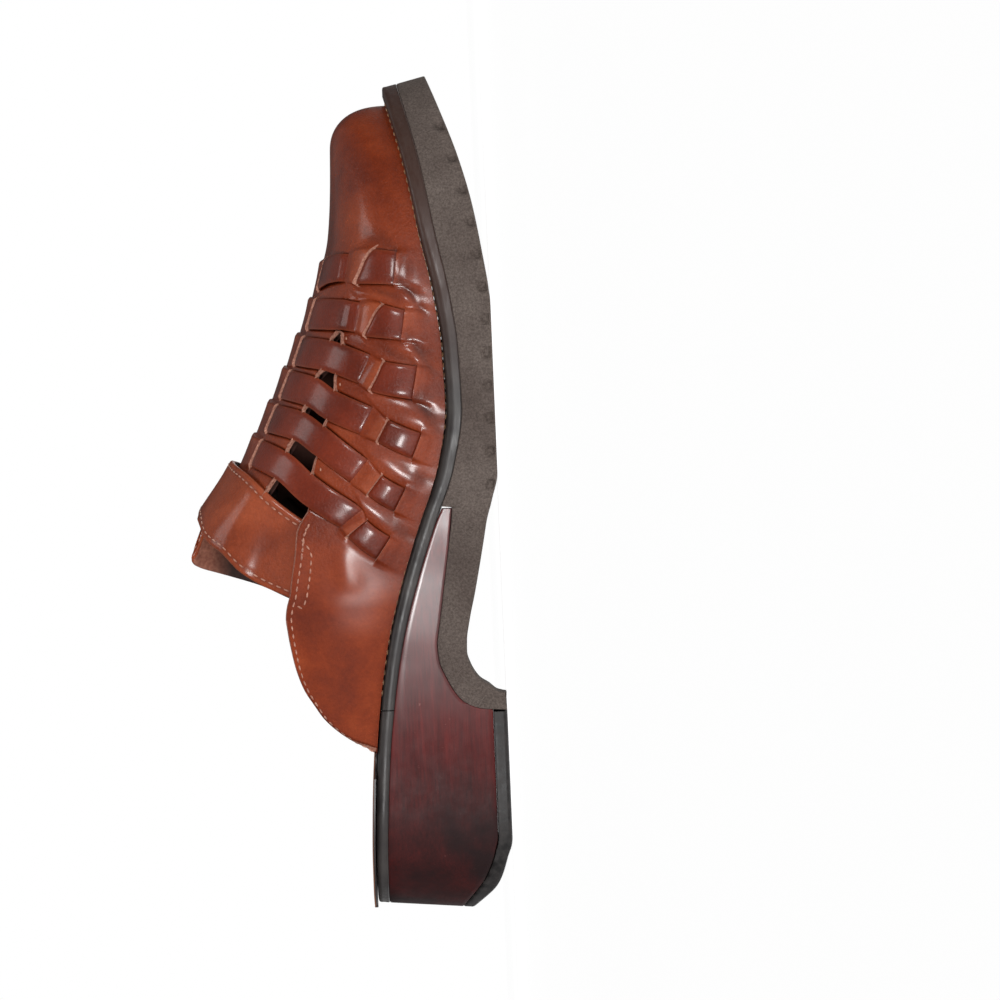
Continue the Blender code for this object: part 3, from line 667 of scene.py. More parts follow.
@functools.lru_cache(maxsize=None)
def strap_frame(row, side, station):
    """Middle of a strap, and a step of one metre across it towards the toe, both as (along, up)."""
    def middle(place):
        return [smooth(range(8), column, place) for column in STRAP_LINES[row, side]]

    at, up = middle(station)
    ahead, behind = middle(min(station + STATION_STEP, RIDGE)), middle(max(station - STATION_STEP, SOLE))
    at *= MM
    along = (skin(at + ALONG_STEP, up - 1) - skin(at - ALONG_STEP, up - 1)) / (2 * ALONG_STEP)
    inner = min(max(up, UP_BACK), 1 - UP_BACK)
    climb = (skin(at, inner + UP_STEP - 1) - skin(at, inner - UP_BACK - 1)) / (UP_STEP + UP_BACK)
    run = along * (ahead[0] - behind[0]) * MM + climb * (ahead[1] - behind[1])
    across = run.cross(along.cross(climb)).normalized()
    if across.dot(along) < 0:
        across = -across
    aa, ac, cc = along.dot(along), along.dot(climb), climb.dot(climb)
    wa, wc = across.dot(along), across.dot(climb)
    scale = aa * cc - ac * ac
    free = ease(SOLE, SOLE + SOLE_BLEND, station) * (1 - ease(RIDGE - RIDGE_BLEND, RIDGE, station))
    step_at = (wa * cc - wc * ac) / scale
    step_up = (wc * aa - wa * ac) / scale
    return at, up, 1 + (step_at - 1) * free, step_up * free


def strap_spot(row, side, share, station):
    """(along, up) on a strap; share is -1 at its heel edge and 1 at its toe edge."""
    lean = SLIT_LEAN[row] * (share + SLIT_CURVE * share * abs(share))
    station -= lean * max(0.0, 1 - abs(station - TUCK) / SLIT_REACH)
    station += EDGE_LEAN[row] * share * max(0.0, 1 - abs(station - PANEL_EDGE) / EDGE_REACH)
    at, up, step_at, step_up = strap_frame(row, side, round(station, 4))
    half = MM * smooth(range(8), STRAP_WIDTHS[row], station) / 2
    return at + step_at * half * share, up + step_up * half * share


# Calf leather, dyed cognac and polished with wax: red-brown, mottled over 18 mm, with painted shade in
# its creases, seams and slits and where it sinks under the straps, rubbed pale on edges and raised
# places, with pores under a clear shine, drawn 0.8 mm apart so that they show.
WAX, WAX_LOST = 0.28, 0.76


def calf_leather(name, pale, middle, dark, roughness, pore_depth, matt_back=0.0):
    """Polished leather whose colours go from pale to dark; reads the wear attribute of its piece, which
    rubs it pale where positive and paints shade where negative.

    matt_back is how much rougher it gets towards the heel, where it isn't polished.
    """
    finish, tree, where = new_finish(name, IOR=1.5, Specular_IOR_Level=0.13, Coat_Roughness=0.18)
    cloud = add(tree, "TexNoise", {"Vector": where, "Scale": 55.0, "Detail": 6.0, "Roughness": 0.6})
    tone = add(tree, "ValToRGB", {0: cloud}, stops=((0.28, dark), (0.75, pale), (0.5, middle)))
    # Above zero the wear attribute is rubbed wear; below zero it is painted shade, towards near black.
    wear = add(tree, "Attribute", {}, "Fac", attribute_name="wear")
    shade_amount = add(tree, "MapRange", {0: wear, 1: -1.0, 2: 0.0, 3: 0.85, 4: 0.0})
    shade_painted = add(tree, "Mix", {0: shade_amount, 6: tone, 7: "#2e0d06"}, 2, data_type='RGBA')
    rubbed = add(tree, "MapRange", {0: wear, 1: 0.0, 2: 1.0, 3: 0.0, 4: 0.4})
    edged = add(tree, "Mix", {0: rubbed, 6: shade_painted, 7: "#a85a3a"}, 2, data_type='RGBA')
    fine = add(tree, "TexNoise", {"Vector": where, "Scale": 900.0, "Detail": 4.0, "Roughness": 0.7})
    flecks = add(tree, "MapRange", {0: fine, 1: 0.3, 2: 0.7, 3: 0.86, 4: 1.1})
    mottled = add(tree, "VectorMath", {0: edged, "Scale": flecks}, operation='SCALE')
    gloss = add(tree, "MapRange", {0: cloud, 1: 0.3, 2: 0.7, 3: roughness - 0.06, 4: roughness + 0.08})
    along = add(tree, "SeparateXYZ", {0: where}, "Y")
    matt = add(tree, "MapRange", {0: along, 1: 0.010, 2: 0.036, 3: 0.0, 4: matt_back})
    duller = add(tree, "Math", {0: gloss, 1: matt}, operation='ADD')
    wax = add(tree, "MapRange", {0: along, 1: 0.010, 2: 0.036, 3: WAX, 4: WAX - WAX_LOST * matt_back})
    pores = add(tree, "TexNoise", {"Vector": where, "Scale": 1250.0, "Detail": 3.0, "Roughness": 0.6})
    grain = add(tree, "Bump", {"Strength": 0.9, "Distance": 2 * pore_depth * MM, "Height": pores})
    folds = add(tree, "TexNoise", {"Vector": where, "Scale": 240.0, "Detail": 4.0, "Distortion": 0.8})
    waves = add(tree, "Bump", {"Strength": 0.08, "Distance": 0.35 * MM, "Height": folds, "Normal": grain})
    dress(tree, Base_Color=mottled, Roughness=duller, Coat_Weight=wax, Normal=waves)
    return finish


# One calf for all three: the straps' darker colours are painted shade, the instep's lighter ones painted
# light.
panel_leather = calf_leather("polished_calf_panels", "#80371b", "#6c2911", "#531c0c", 0.36, 0.16, 0.34)
strap_leather = calf_leather("polished_calf_straps_painted_darker", "#6b2612", "#591d0d", "#431509", 0.34, 0.12)

# Cut edge of the same leather, not dyed or sealed: fibrous, matt and a pinkish light brown.
raw_edge, tree, where = new_finish("raw_cut_leather", Roughness=0.8, IOR=1.45)
fibre = add(tree, "TexNoise", {"Vector": where, "Scale": 1500.0, "Detail": 3.0})
tone = add(tree, "ValToRGB", {0: fibre}, stops=((0.3, "#6e3f30"), (0.7, "#a87866")))
dress(tree, Base_Color=tone)

work = bmesh.new()
wear_and_shade_layer = work.verts.layers.float.new("wear")
for side in (-1, 1):
    for row in range(len(STRAP_UP)):
        for level, corner in double_sheet(work, 96, 12):
            u, across = corner.co.x + 0.5, math.sin(corner.co.y * math.pi)
            station = STRAP_STATIONS[0] + (STRAP_STATIONS[-1] - STRAP_STATIONS[0]) * u
            at, up = strap_spot(row, side, STRAP_FILL * across, station)
            turned = EDGE_TURN * abs(across) ** EDGE_ROUND
            lift = smooth(STRAP_STATIONS, STRAP_HEIGHTS, station)
            lift += STRAP_FACE - turned if level else turned - STRAP_THICKNESS
            corner.co = on_skin(at, side * (1 - up), max(lift, STRAP_DEEPEST))
            # The ends in the slits get painted shade; the edges are rubbed pale.
            in_slit = 1 - ease(0.0, IN_SLIT, min(u, 1 - u))
            corner[wear_and_shade_layer] = STRAP_WEAR_AND_SHADE * (abs(across) ** (2 * EDGE_ROUND) - in_slit)
bmesh.ops.recalc_face_normals(work, faces=work.faces[:])
straps = make_piece("woven_straps", work, strap_leather, sharp=50)

# ---- Vamp ----
# Toe, side panels and centre band, cut from one skin with the slits for the straps and lasted over
# the sole. The leather stands up over each strap, and its cut edges show.
PANEL_BACK = 50.6 * MM  # where a side panel ends at the sole
HUG, REACH = 0.84, 1.26  # the leather settles beside a strap between these half widths from its middle
LEAST_GAP = 0.2 * MM    # between two straps
TOPLINE = (             # top edge of a side panel behind the slot: millimetres along and up
    (126.0, 62.4), (121.6, 63.6), (117.0, 64.2), (112.8, 64.8), (106.5, 66.0), (101.5, 66.8), (98.2, 67.8),
    (95.0, 68.3), (90.8, 68.0), (84.4, 67.1), (78.0, 65.8), (71.6, 63.6), (66.8, 60.8), (61.9, 57.6),
    (58.0, 53.6), (54.6, 48.8), (52.4, 44.6), (51.0, 42.6),
)
BAND_END = (128.0, 0.530), (126.5, 0.86), (126.0, 1.0)   # centre band under the instep strap
SETTLE = 16             # how fast a panel's edge leaves the last strap for the top line
BAND_LINES = 9          # cross-lines of its end
TOE_CLOSING = 1.8       # how much closer the toe's cross-lines lie at its tip
# Height of the wall over the last along a strap's middle, in millimetres. A slit is two stations
# close together, its raised side first or second. The upper slit's cut edge slopes, so it shows.
RELIEF_STATIONS = (
    0.0, 0.35, 0.75, 0.996, 1.004, 1.91, 2.004, 2.35, 2.996, 3.004, 4.0, 5.0, 5.996, 6.004, 6.4, 7.0)
RELIEF_HEIGHTS = (
    0.0, 0.15, 0.7, 1.15, -0.6, -0.6, 1.35, 1.15, 0.45, -0.5, -0.5, -0.5, -0.4, 1.05, 0.75, 0.45)
# How much of it the toe edge gains and the heel edge loses on the ridge, and the stations it sets in at.
SHINGLE, SHINGLE_START = 1.0, (6.0, 6.5)
# How far the leather between two straps stands up, with the stations where it rises and falls, and how
# far it sinks beside the ridge.
GAP_PUFF, PUFF_RISE, PUFF_FALL = 0.45, (0.2, 0.9), (2.6, 3.2)
RIDGE_SINK, SINK_START = 0.25, (5.9, 6.2)
# Leather sunk below SUNK gets painted shade. It is rubbed paler as it rises between the RAISED heights.
SUNK, SUNK_SHADE, RAISED, RAISED_WEAR, CREASE_SHADE = -0.2, 0.8, (0.9, 1.3), 0.5, 0.5
PANEL_LIP, BAND_LIP = (0.30, 0.3), (0.25, 0.2)   # swelling at the slot's edges: height, width in stations
WALL_GIRTH = 85         # millimetres from the sole to the ridge, for the creases
LEATHER = 1.7           # thickness in millimetres
# Creases pressed in by walking: along, up, turn in degrees from the foot's length, length, width
# and depth in millimetres.
CREASES = (
    (214.0, 0.30, 70, 22, 1.6, 0.35), (211.0, 0.16, 55, 16, 1.2, 0.30), (197.0, 0.10, 60, 15, 1.3, 0.35),
    (195.5, 0.20, 75, 14, 1.1, 0.30), (192.5, 0.06, 35, 12, 1.2, 0.35), (178.5, 0.07, 45, 14, 1.2, 0.40),
    (176.0, 0.15, 65, 15, 1.1, 0.35), (173.0, 0.04, 30, 12, 1.0, 0.30), (159.5, 0.06, 50, 14, 1.2, 0.35),
    (156.0, 0.03, 25, 12, 1.1, 0.30), (139.0, 0.05, 45, 12, 1.2, 0.30), (121.0, 0.03, 35, 12, 1.3, 0.25),
    (109.5, 0.13, 20, 15, 2.6, -0.35), (163.0, 0.10, 80, 12, 1.1, 0.25),
)


def up_at_height(at, height):
    """Share up the wall that lies at a height."""
    low, high = 0.0, 1.0
    for _ in range(30):
        middle = (low + high) / 2
        low, high = (middle, high) if skin(at, middle - 1).z < height else (low, middle)
    return low


TOP_EDGE = [(at * MM, up_at_height(at * MM, height * MM)) for at, height in TOPLINE]
TOP_RUN = [0.0]
for before, after in zip(TOP_EDGE, TOP_EDGE[1:]):
    TOP_RUN.append(TOP_RUN[-1] + (skin(before[0], before[1] - 1) - skin(after[0], after[1] - 1)).length)


def blend(one, other, share):
    return tuple(a + (b - a) * share for a, b in zip(one, other))


def beside(row, side, share, station):
    """(along, up) on the wall under or beside a strap, short of the middle of the gap to the next."""
    place = strap_spot(row, side, share, station)
    way = math.copysign(1, share)
    if abs(share) <= 1 or not 0 <= row - way < len(STRAP_UP):
        return place
    edge, other = strap_spot(row, side, way, station), strap_spot(int(row - way), side, -way, station)
    gap = max(way * (other[0] - edge[0]), LEAST_GAP)
    wished, most = way * (place[0] - edge[0]) / gap, 0.5 * (abs(share) - 1) / (REACH - 1)
    return blend(edge, other, wished * most / (wished + most))


def wall_spot(line, side, station):
    """(along, up) where a cross-line of the vamp meets a station."""
    zone, row, share = line
    if zone == "strap":
        return beside(row, side, share, station)
    if zone == "gap":
        return blend(beside(row, side, -REACH, station), beside(row + 1, side, REACH, station), share)
    if zone == "toe":
        start = strap_spot(0, side, REACH, station)
        at = start[0] + (UPPER_TIP - start[0]) * (1 - (1 - share) ** TOE_CLOSING)
        return at, start[1] + (station / RIDGE - start[1]) * ease(0.0, 1.0, share)
    if station > PANEL_EDGE:
        start = strap_spot(5, side, -REACH, station)
        near, far, step = (0, 1, BAND_EDGE) if station < DIVE else (1, 2, DIVE)
        end = blend(BAND_END[near], BAND_END[far], station - step)
        rise = INNER_SLOT_RISE[5] * (DIVE - station) if side > 0 and station < DIVE else 0.0
        return blend(start, (end[0] * MM, end[1] + rise), min(share * REAR_LINES / BAND_LINES, 1.0))
    top_start = strap_spot(5, side, -REACH, PANEL_EDGE)
    top = tuple(smooth(TOP_RUN, column, share * TOP_RUN[-1]) for column in zip(*TOP_EDGE))
    settle = max(0.0, 1 - share * SETTLE) ** 2
    top = tuple(t + (s - e) * settle for t, s, e in zip(top, top_start, TOP_EDGE[0]))
    foot_start = strap_spot(5, side, -REACH, SOLE)
    foot = (foot_start[0] + (PANEL_BACK - foot_start[0]) * share, 0.0)
    straight = blend(foot, top, station / PANEL_EDGE)
    first = blend(foot_start, top_start, station / PANEL_EDGE)
    start = strap_spot(5, side, -REACH, station)
    return tuple(s + (a - b) * (1 - share) ** 3 for s, a, b in zip(straight, start, first))


def relief(line, station, at, up):
    """Height of the wall over the last, in millimetres."""
    zone, row, share = line
    under = 1 - ease(HUG, REACH, abs(share)) if zone == "strap" else 0.0
    number = max(k for k in range(len(RELIEF_STATIONS) - 1) if RELIEF_STATIONS[k] <= station + 1e-9)
    low, high = RELIEF_STATIONS[number:number + 2]
    height = RELIEF_HEIGHTS[number]
    height += (RELIEF_HEIGHTS[number + 1] - height) * ease(low, high, station)
    height *= under * (1 + SHINGLE * share * ease(*SHINGLE_START, station) if zone == "strap" else 1)
    between = math.sin(math.pi * share) if zone == "gap" else 0.0
    # Leather sunk under a strap gets painted shade; raised leather is rubbed paler.
    wear = -SUNK_SHADE * under if height < SUNK else RAISED_WEAR * under * ease(*RAISED, height)
    height += between * GAP_PUFF * ease(*PUFF_RISE, station) * (1 - ease(*PUFF_FALL, station))
    height -= between * RIDGE_SINK * ease(*SINK_START, station)
    if zone != "toe" and row > 0:
        for place, (swell, width) in ((PANEL_EDGE, PANEL_LIP), (BAND_EDGE, BAND_LIP)):
            height += swell * (1 - under) * math.exp(-((station - place) / width) ** 2)
    for crease_at, crease_up, turn, length, width, depth in CREASES:
        ahead = at / MM - crease_at
        if abs(ahead) < length:
            climb = (up - crease_up) * WALL_GIRTH
            lean = math.radians(turn)
            run = ahead * math.cos(lean) + climb * math.sin(lean)
            off = climb * math.cos(lean) - ahead * math.sin(lean)
            press = math.exp(-(off / width) ** 2) * math.exp(-(2 * run / length) ** 4)
            height -= depth * press
            # A pressed crease gets painted shade.
            wear -= CREASE_SHADE * press if depth > 0 else 0.0
    return height, wear


SLITS = (0.996, 1.004), (1.91, 2.004), (2.996, 3.004), (5.996, 6.004)   # where the cut edges show
# Cross-lines of the sheet, toe to heel: which part of the upper, the strap's number, and a share of
# the toe, of half the strap's width, of the gap to the next strap or of the panel behind them.
REAR_LINES = 58
STRAP_SHARES = (
    REACH, 1.14, 1.04, 0.96, 0.84, 0.62, 0.32, 0.0, -0.32, -0.62, -0.84, -0.96, -1.04, -1.14, -REACH)
GAP_SHARES = (0.17, 0.33, 0.5, 0.67, 0.83)
TOE_LINES = 46
cross_lines = [("toe", 0, 1 - k / TOE_LINES) for k in range(TOE_LINES)]
for row in range(len(STRAP_UP)):
    cross_lines += [("strap", row, share) for share in STRAP_SHARES]
    if row < len(STRAP_UP) - 1:
        cross_lines += [("gap", row, share) for share in GAP_SHARES]
cross_lines += [("rear", 5, (k + 1) / REAR_LINES) for k in range(REAR_LINES)]
SLOT_START = TOE_LINES + 2 * len(STRAP_SHARES) + len(GAP_SHARES) - 1   # heel edge of the second strap
REAR_START = len(cross_lines) - REAR_LINES - 1
wall_stations = [0.0, 0.1, 0.2, 0.32, 0.44, 0.56, 0.66, 0.76, 0.85, 0.93, 0.996,
                 1.004, 1.1, 1.25, 1.45, 1.65, 1.8, 1.91, 2.004, 2.1, 2.25, 2.45, 2.65, 2.85, 2.996,
                 3.004, 3.15, 3.3, 3.45, 3.6, 3.72, 3.83, 3.92, 4.0, 4.33, 4.67, 5.0,
                 5.06, 5.14, 5.26, 5.42, 5.58, 5.74, 5.88, 5.996, 6.004, 6.12, 6.28, 6.46, 6.64, 6.82, 7.0]


def in_leather(number, station):
    """Whether a cell of the sheet is leather, not slot or the open heel."""
    if PANEL_EDGE < station < BAND_EDGE:
        return number < SLOT_START
    return station < PANEL_EDGE or number < REAR_START + BAND_LINES


def wall_sheet(stations, lift_of):
    """Sheet over the whole upper, outer sole edge to inner sole edge."""
    work = bmesh.new()
    last, middle = len(cross_lines) - 1, len(stations) - 1
    bmesh.ops.create_grid(work, x_segments=last, y_segments=2 * middle, size=0.5)
    gone = []
    for face in work.faces:
        centre = face.calc_center_median()
        column = (centre.y + 0.5) * 2 * middle
        number, step = int((centre.x + 0.5) * last), int(min(column, 2 * middle - column))
        if not in_leather(number, (stations[step] + stations[step + 1]) / 2):
            gone.append(face)
        at_slit = any(low <= stations[step] and stations[step + 1] <= high for low, high in SLITS)
        at_strap = cross_lines[number][0] == cross_lines[number + 1][0] == "strap"
        face.material_index = 1 if at_slit and at_strap else 0
    bmesh.ops.delete(work, geom=gone, context='FACES')
    wear = work.verts.layers.float.new("wear")
    for corner in work.verts:
        line = cross_lines[round((corner.co.x + 0.5) * last)]
        column = round((corner.co.y + 0.5) * 2 * middle)
        station = stations[min(column, 2 * middle - column)]
        side = -1 if column <= middle else 1
        at, up = wall_spot(line, side, station)
        lift, corner[wear] = lift_of(line, station, at, up)
        corner.co = on_skin(at, side * (1 - up), lift)
    return work


work = wall_sheet(wall_stations, relief)
work.normal_update()
outside = {corner: corner.normal.copy() for corner in work.verts}
rim = bmesh.ops.extrude_edge_only(work, edges=[edge for edge in work.edges if edge.is_boundary])
for face in [item for item in rim["geom"] if isinstance(item, bmesh.types.BMFace)]:
    face.material_index = 1
for corner in [item for item in rim["geom"] if isinstance(item, bmesh.types.BMVert)]:
    for edge in corner.link_edges:
        root = edge.other_vert(corner)
        if root in outside:
            corner.co = root.co - outside[root] * LEATHER * MM
toe_tip = [corner for corner in work.verts if corner.co.y < LENGTH / 2 - UPPER_TIP + 4 * MM]
bmesh.ops.remove_doubles(work, verts=toe_tip, dist=0.01 * MM)
vamp = make_piece("vamp_leather", work, panel_leather, raw_edge, sharp=40)
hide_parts("upper")

# ---- Lining ----
# Thin pigskin behind the leather, cut to the same slots and edges. It only shows through the
# openings and from behind.
LINING_DEPTH = 1.62     # under the last's surface, in millimetres

# Pigskin lining, quite matt, with pores 2 mm apart, coloured dark brown as painted shade inside the shoe.
pigskin, tree, where = new_finish("pigskin_lining", Roughness=0.75, IOR=1.45)
cloud = add(tree, "TexNoise", {"Vector": where, "Scale": 70.0, "Detail": 5.0})
tone = add(tree, "ValToRGB", {0: cloud}, stops=((0.3, "#2a140e"), (0.7, "#44241a")))
pores = add(tree, "TexVoronoi", {"Vector": where, "Scale": 520.0}, feature='F1')
bumps = add(tree, "Bump", {"Strength": 0.3, "Distance": 0.3 * MM, "Height": pores})
dress(tree, Base_Color=tone, Normal=bumps)

lining_stations = [0.0, 0.2, 0.44, 0.7, 1.0, 1.35, 1.7, 2.0, 2.5, 3.0, 3.35, 3.7, 4.0, 4.33, 4.67, 5.0,
                   5.15, 5.3, 5.45, 5.6, 5.75, 5.9, 6.1, 6.3, 6.5, 6.75, 7.0]
work = wall_sheet(lining_stations, lambda line, station, at, up: (-LINING_DEPTH, 0.0))
bmesh.ops.reverse_faces(work, faces=work.faces[:])
make_piece("lining", work, pigskin)

# ---- Instep strap ----
# Wide strap of two layers with turned edges, over the instep. Its ends are sewn inside the side
# panels. The big-toe half spreads towards the heel, so its edge stands clear of the other half.
INSTEP_TURNS = (0.00, 0.12, 0.30, 0.45, 0.60, 0.75, 0.88, 1.00)
# Front and rear edge at those turns, millimetres along and share up the wall, and the height of the
# inner face over the wall.
INSTEP_FRONT = (
    (119.0, 0.200), (123.9, 0.300), (129.1, 0.407), (133.5, 0.505), (137.0, 0.593), (140.2, 0.705),
    (142.6, 0.860), (143.8, 1.000),
)
INSTEP_REAR = (
    (96.5, 0.190), (100.6, 0.281), (105.8, 0.404), (109.7, 0.479), (115.6, 0.586), (119.2, 0.701),
    (125.2, 0.862), (127.5, 1.000),
)
INSTEP_LIFTS = (-4.4, -4.3, -3.1, -0.8, 0.8, 1.1, 1.1, 1.1)
INSTEP_THICKNESS = 2.2
INSTEP_TURN, SEAM_GROOVE = 0.7, 0.22    # how far its edges are turned down and its seams pressed in
SEAM_PLACE, SEAM_WIDTH = 0.83, 0.035    # where the seams lie and how wide they are, in half widths
INSTEP_ROUND = 26                       # how narrow the turn of its edges is
RUB, RUB_ROUND = 0.5, 22                # how pale the edges are rubbed, and how narrow that is
# Painted shade in the pressed seams:
SEAM_SHADE, SEAM_SHADE_WIDTH = 0.35, 0.05           # how dark the seams are, and how wide in half widths
SPREAD_TURNS = (0.00, 0.20, 0.38, 0.46, 0.58, 0.66, 0.74, 0.80, 0.86, 0.90, 0.95, 1.00)
SPREAD_AHEAD = 2.5                      # how far forward the big-toe half bulges, in millimetres
SPREAD_REAR = (
    (96.5, 0.190), (100.6, 0.290), (104.6, 0.385), (106.2, 0.440), (108.4, 0.540), (109.6, 0.610),
    (110.8, 0.690), (112.0, 0.745), (113.4, 0.768), (116.4, 0.750), (120.6, 0.760), (127.5, 1.000),
)


def instep_spot(u, v, lift):
    """Point on the strap: u 0 to 1 from the outer end to the inner end, v -1 front edge to 1 rear edge."""
    turn, side = 1 - abs(2 * u - 1), -1 if u < 0.5 else 1
    front = tuple(smooth(INSTEP_TURNS, places, turn) for places in zip(*INSTEP_FRONT))
    turns, edge = (INSTEP_TURNS, INSTEP_REAR) if side < 0 else (SPREAD_TURNS, SPREAD_REAR)
    rear = tuple(smooth(turns, places, turn) for places in zip(*edge))
    if side > 0:
        front = front[0] + SPREAD_AHEAD * math.sin(math.pi * turn), front[1]
    at, up = blend(front, rear, (v + 1) / 2)
    return on_skin(at * MM, side * (1 - up), lift + smooth(INSTEP_TURNS, INSTEP_LIFTS, turn))


# Back of the strap: split leather, unpolished and matt, with a short nap, painted nearly black lower
# down as shade inside the shoe.
strap_back, tree, where = new_finish("split_leather_back", Roughness=0.8, IOR=1.45)
nap = add(tree, "TexNoise", {"Vector": where, "Scale": 800.0, "Detail": 4.0})
tone = add(tree, "ValToRGB", {0: nap}, stops=((0.3, "#6b3a2b"), (0.7, "#8d5a48")))
# Below a height the colour goes nearly black: painted shade.
height = add(tree, "SeparateXYZ", {0: where}, "Z")
low_shade = add(tree, "MapRange", {0: height, 1: 0.093, 2: 0.086, 3: 0.0, 4: 0.93})
low_shaded = add(tree, "Mix", {0: low_shade, 6: tone, 7: "#160a07"}, 2, data_type='RGBA')
bumps = add(tree, "Bump", {"Strength": 0.3, "Distance": 0.3 * MM, "Height": nap})
dress(tree, Base_Color=low_shaded, Normal=bumps)

# Same calf as the panels, given lighter colours: painted light.
instep_leather = calf_leather("polished_calf_instep_painted_lighter", "#8a4126", "#773218", "#5f2410", 0.46, 0.16)
work = bmesh.new()
wear = work.verts.layers.float.new("wear")
corners = double_sheet(work, 120, 22)
inner = {corner for level, corner in corners if level == 0}
for face in work.faces:
    face.material_index = 1 if inner.issuperset(face.verts) else 0
for level, corner in corners:
    u, v = corner.co.x + 0.5, math.sin(corner.co.y * math.pi)
    turned = INSTEP_TURN * abs(v) ** INSTEP_ROUND
    seam = SEAM_GROOVE * math.exp(-((abs(v) - SEAM_PLACE) / SEAM_WIDTH) ** 2)
    corner.co = instep_spot(u, v, INSTEP_THICKNESS - turned - seam if level else turned)
    # The seams get painted shade; the edges are rubbed pale.
    seam_shade = SEAM_SHADE * math.exp(-((abs(v) - SEAM_PLACE) / SEAM_SHADE_WIDTH) ** 2)
    corner[wear] = RUB * abs(v) ** RUB_ROUND - seam_shade
bmesh.ops.recalc_face_normals(work, faces=work.faces[:])
instep = make_piece("instep_band", work, instep_leather, strap_back, sharp=50)
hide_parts("instep_strap")

# ---- Stitching ----
# Bonded thread in lock stitch, 8 to 10 stitches in 25 mm: pinkish tan on the upper, ochre where the
# welt is sewn down. Each stitch is one small lozenge pressed half into the leather.

# Length of a stitch, their spacing and the thread's thickness, in millimetres.
STRAP_STITCH, EDGE_STITCH, PILL_STITCH = (1.7, 2.7, 0.5), (1.7, 2.5, 0.55), (1.7, 2.4, 0.55)
GAP_STITCH, WELT_STITCH = (1.1, 1.5, 0.55), (1.8, 3.2, 0.5)
GAP_SEAMS = 3.84, 5.12                  # stations of the short seams beside the slots
EDGE_SEAM = 0.17                        # from the top line, in stations
EDGE_RUNOUT = 14                        # how fast that seam runs out to the edge at the sole
STRAP_SEAM_ENDS = 0.06                  # share of the instep strap left bare at each end
WELT_SEAM_START, WELT_SEAM_END, WELT_SEAM_INSET = 68 * MM, TOE_BAND_START - 3 * MM, 2.75 * MM
# How deep the thread is pulled into the strap, and how far its middle lies over the wall.
THREAD_SINK, THREAD_LIFT, PILL_LIFT = 0.12, 0.05, 0.15


def sew(work, path, length, pitch, thick):
    """Lays stitches along a path of (place, normal) pairs."""
    runs = [0.0]
    for before, after in zip(path, path[1:]):
        runs.append(runs[-1] + (after[0] - before[0]).length)
    count = int(runs[-1] / (pitch * MM))
    leg = 0
    for number in range(count):
        run = (number + 0.5) * runs[-1] / count
        while leg < len(runs) - 2 and runs[leg + 1] < run:
            leg += 1
        share = (run - runs[leg]) / max(runs[leg + 1] - runs[leg], 1e-9)
        centre = path[leg][0].lerp(path[leg + 1][0], share)
        normal = path[leg][1].lerp(path[leg + 1][1], share).normalized()
        along = (path[leg + 1][0] - path[leg][0]).normalized()
        across = normal.cross(along).normalized()
        normal = along.cross(across)
        turned = Matrix((along * length, across * thick, normal * thick)).transposed() * (MM / 2)
        place = Matrix.Translation(centre) @ turned.to_4x4() @ Matrix.Rotation(math.pi / 2, 4, 'Y')
        bmesh.ops.create_uvsphere(work, u_segments=7, v_segments=5, radius=1.0, matrix=place)


# Waxed polyester thread: soft shine, dulled by polish, its strands drawn 0.8 mm apart.
def thread(name, pale, dark):
    """Thread finish between two colours."""
    finish, tree, where = new_finish(name, Roughness=0.55, IOR=1.5, Sheen_Weight=0.2)
    strand = add(tree, "TexNoise", {"Vector": where, "Scale": 1200.0, "Detail": 2.0})
    tone = add(tree, "ValToRGB", {0: strand}, stops=((0.3, dark), (0.7, pale)))
    dress(tree, Base_Color=tone)
    return finish


upper_thread = thread("waxed_thread_tan", "#b0806a", "#7c4c3b")
welt_thread = thread("waxed_thread_ochre", "#8a6238", "#4c3220")

work = bmesh.new()
for v in (-SEAM_PLACE, SEAM_PLACE):
    path = []
    for k in range(221):
        u = STRAP_SEAM_ENDS + (1 - 2 * STRAP_SEAM_ENDS) * k / 220
        centre = instep_spot(u, v, INSTEP_THICKNESS - THREAD_SINK)
        under = instep_spot(u, v, INSTEP_THICKNESS - THREAD_SINK - 1)
        path.append((centre, (centre - under).normalized()))
    sew(work, path, *STRAP_STITCH)


def wall_path(places, side):
    """Path on the vamp through (line, station) places."""
    path = []
    for line, station in places:
        at, up = wall_spot(line, side, station)
        height = relief(line, station, at, up)[0]
        path.append((on_skin(at, side * (1 - up), height + THREAD_LIFT), outward(at, side * (1 - up))))
    return path


PILL = (                # seam that holds the end of the instep strap: millimetres along and up
    (119.6, 63.0), (118.1, 61.8), (116.1, 60.4), (113.9, 59.7), (107.9, 60.4), (101.6, 61.6), (98.6, 62.6),
    (97.6, 63.8), (98.4, 65.2),
)
for side in (-1, 1):
    rear = cross_lines[REAR_START + 1:]
    edge = [(line, PANEL_EDGE - EDGE_SEAM * min(1.0, EDGE_RUNOUT * (1.02 - line[2]))) for line in rear]
    sew(work, wall_path(edge, side), *EDGE_STITCH)
    for row in range(1, len(STRAP_UP)):
        between = [line for line in cross_lines[SLOT_START:REAR_START + BAND_LINES]
                   if line[:2] == ("gap", row) or line[:2] == ("rear", row)]
        for station in GAP_SEAMS:
            sew(work, wall_path([(line, station) for line in between], side), *GAP_STITCH)
    pill = []
    for at, height in PILL:
        up = up_at_height(at * MM, height * MM)
        pill.append((on_skin(at * MM, side * (1 - up), PILL_LIFT), outward(at * MM, side * (1 - up))))
    sew(work, pill, *PILL_STITCH)
seams = make_piece("upper_stitches", work, upper_thread, sharp=80)

work = bmesh.new()
for side in (-1, 1):
    path = []
    for k in range(301):
        share = 1 - (1 - k / 300) ** END_CLOSING
        at = WELT_SEAM_START + (WELT_SEAM_END - WELT_SEAM_START) * share
        path.append((flank(side, at, feather(at) + 0.1 * MM, WELT_SEAM_INSET), Vector((0, 0, 1))))
    sew(work, path, *WELT_STITCH)
welt_seam = make_piece("welt_stitches", work, welt_thread, sharp=80)
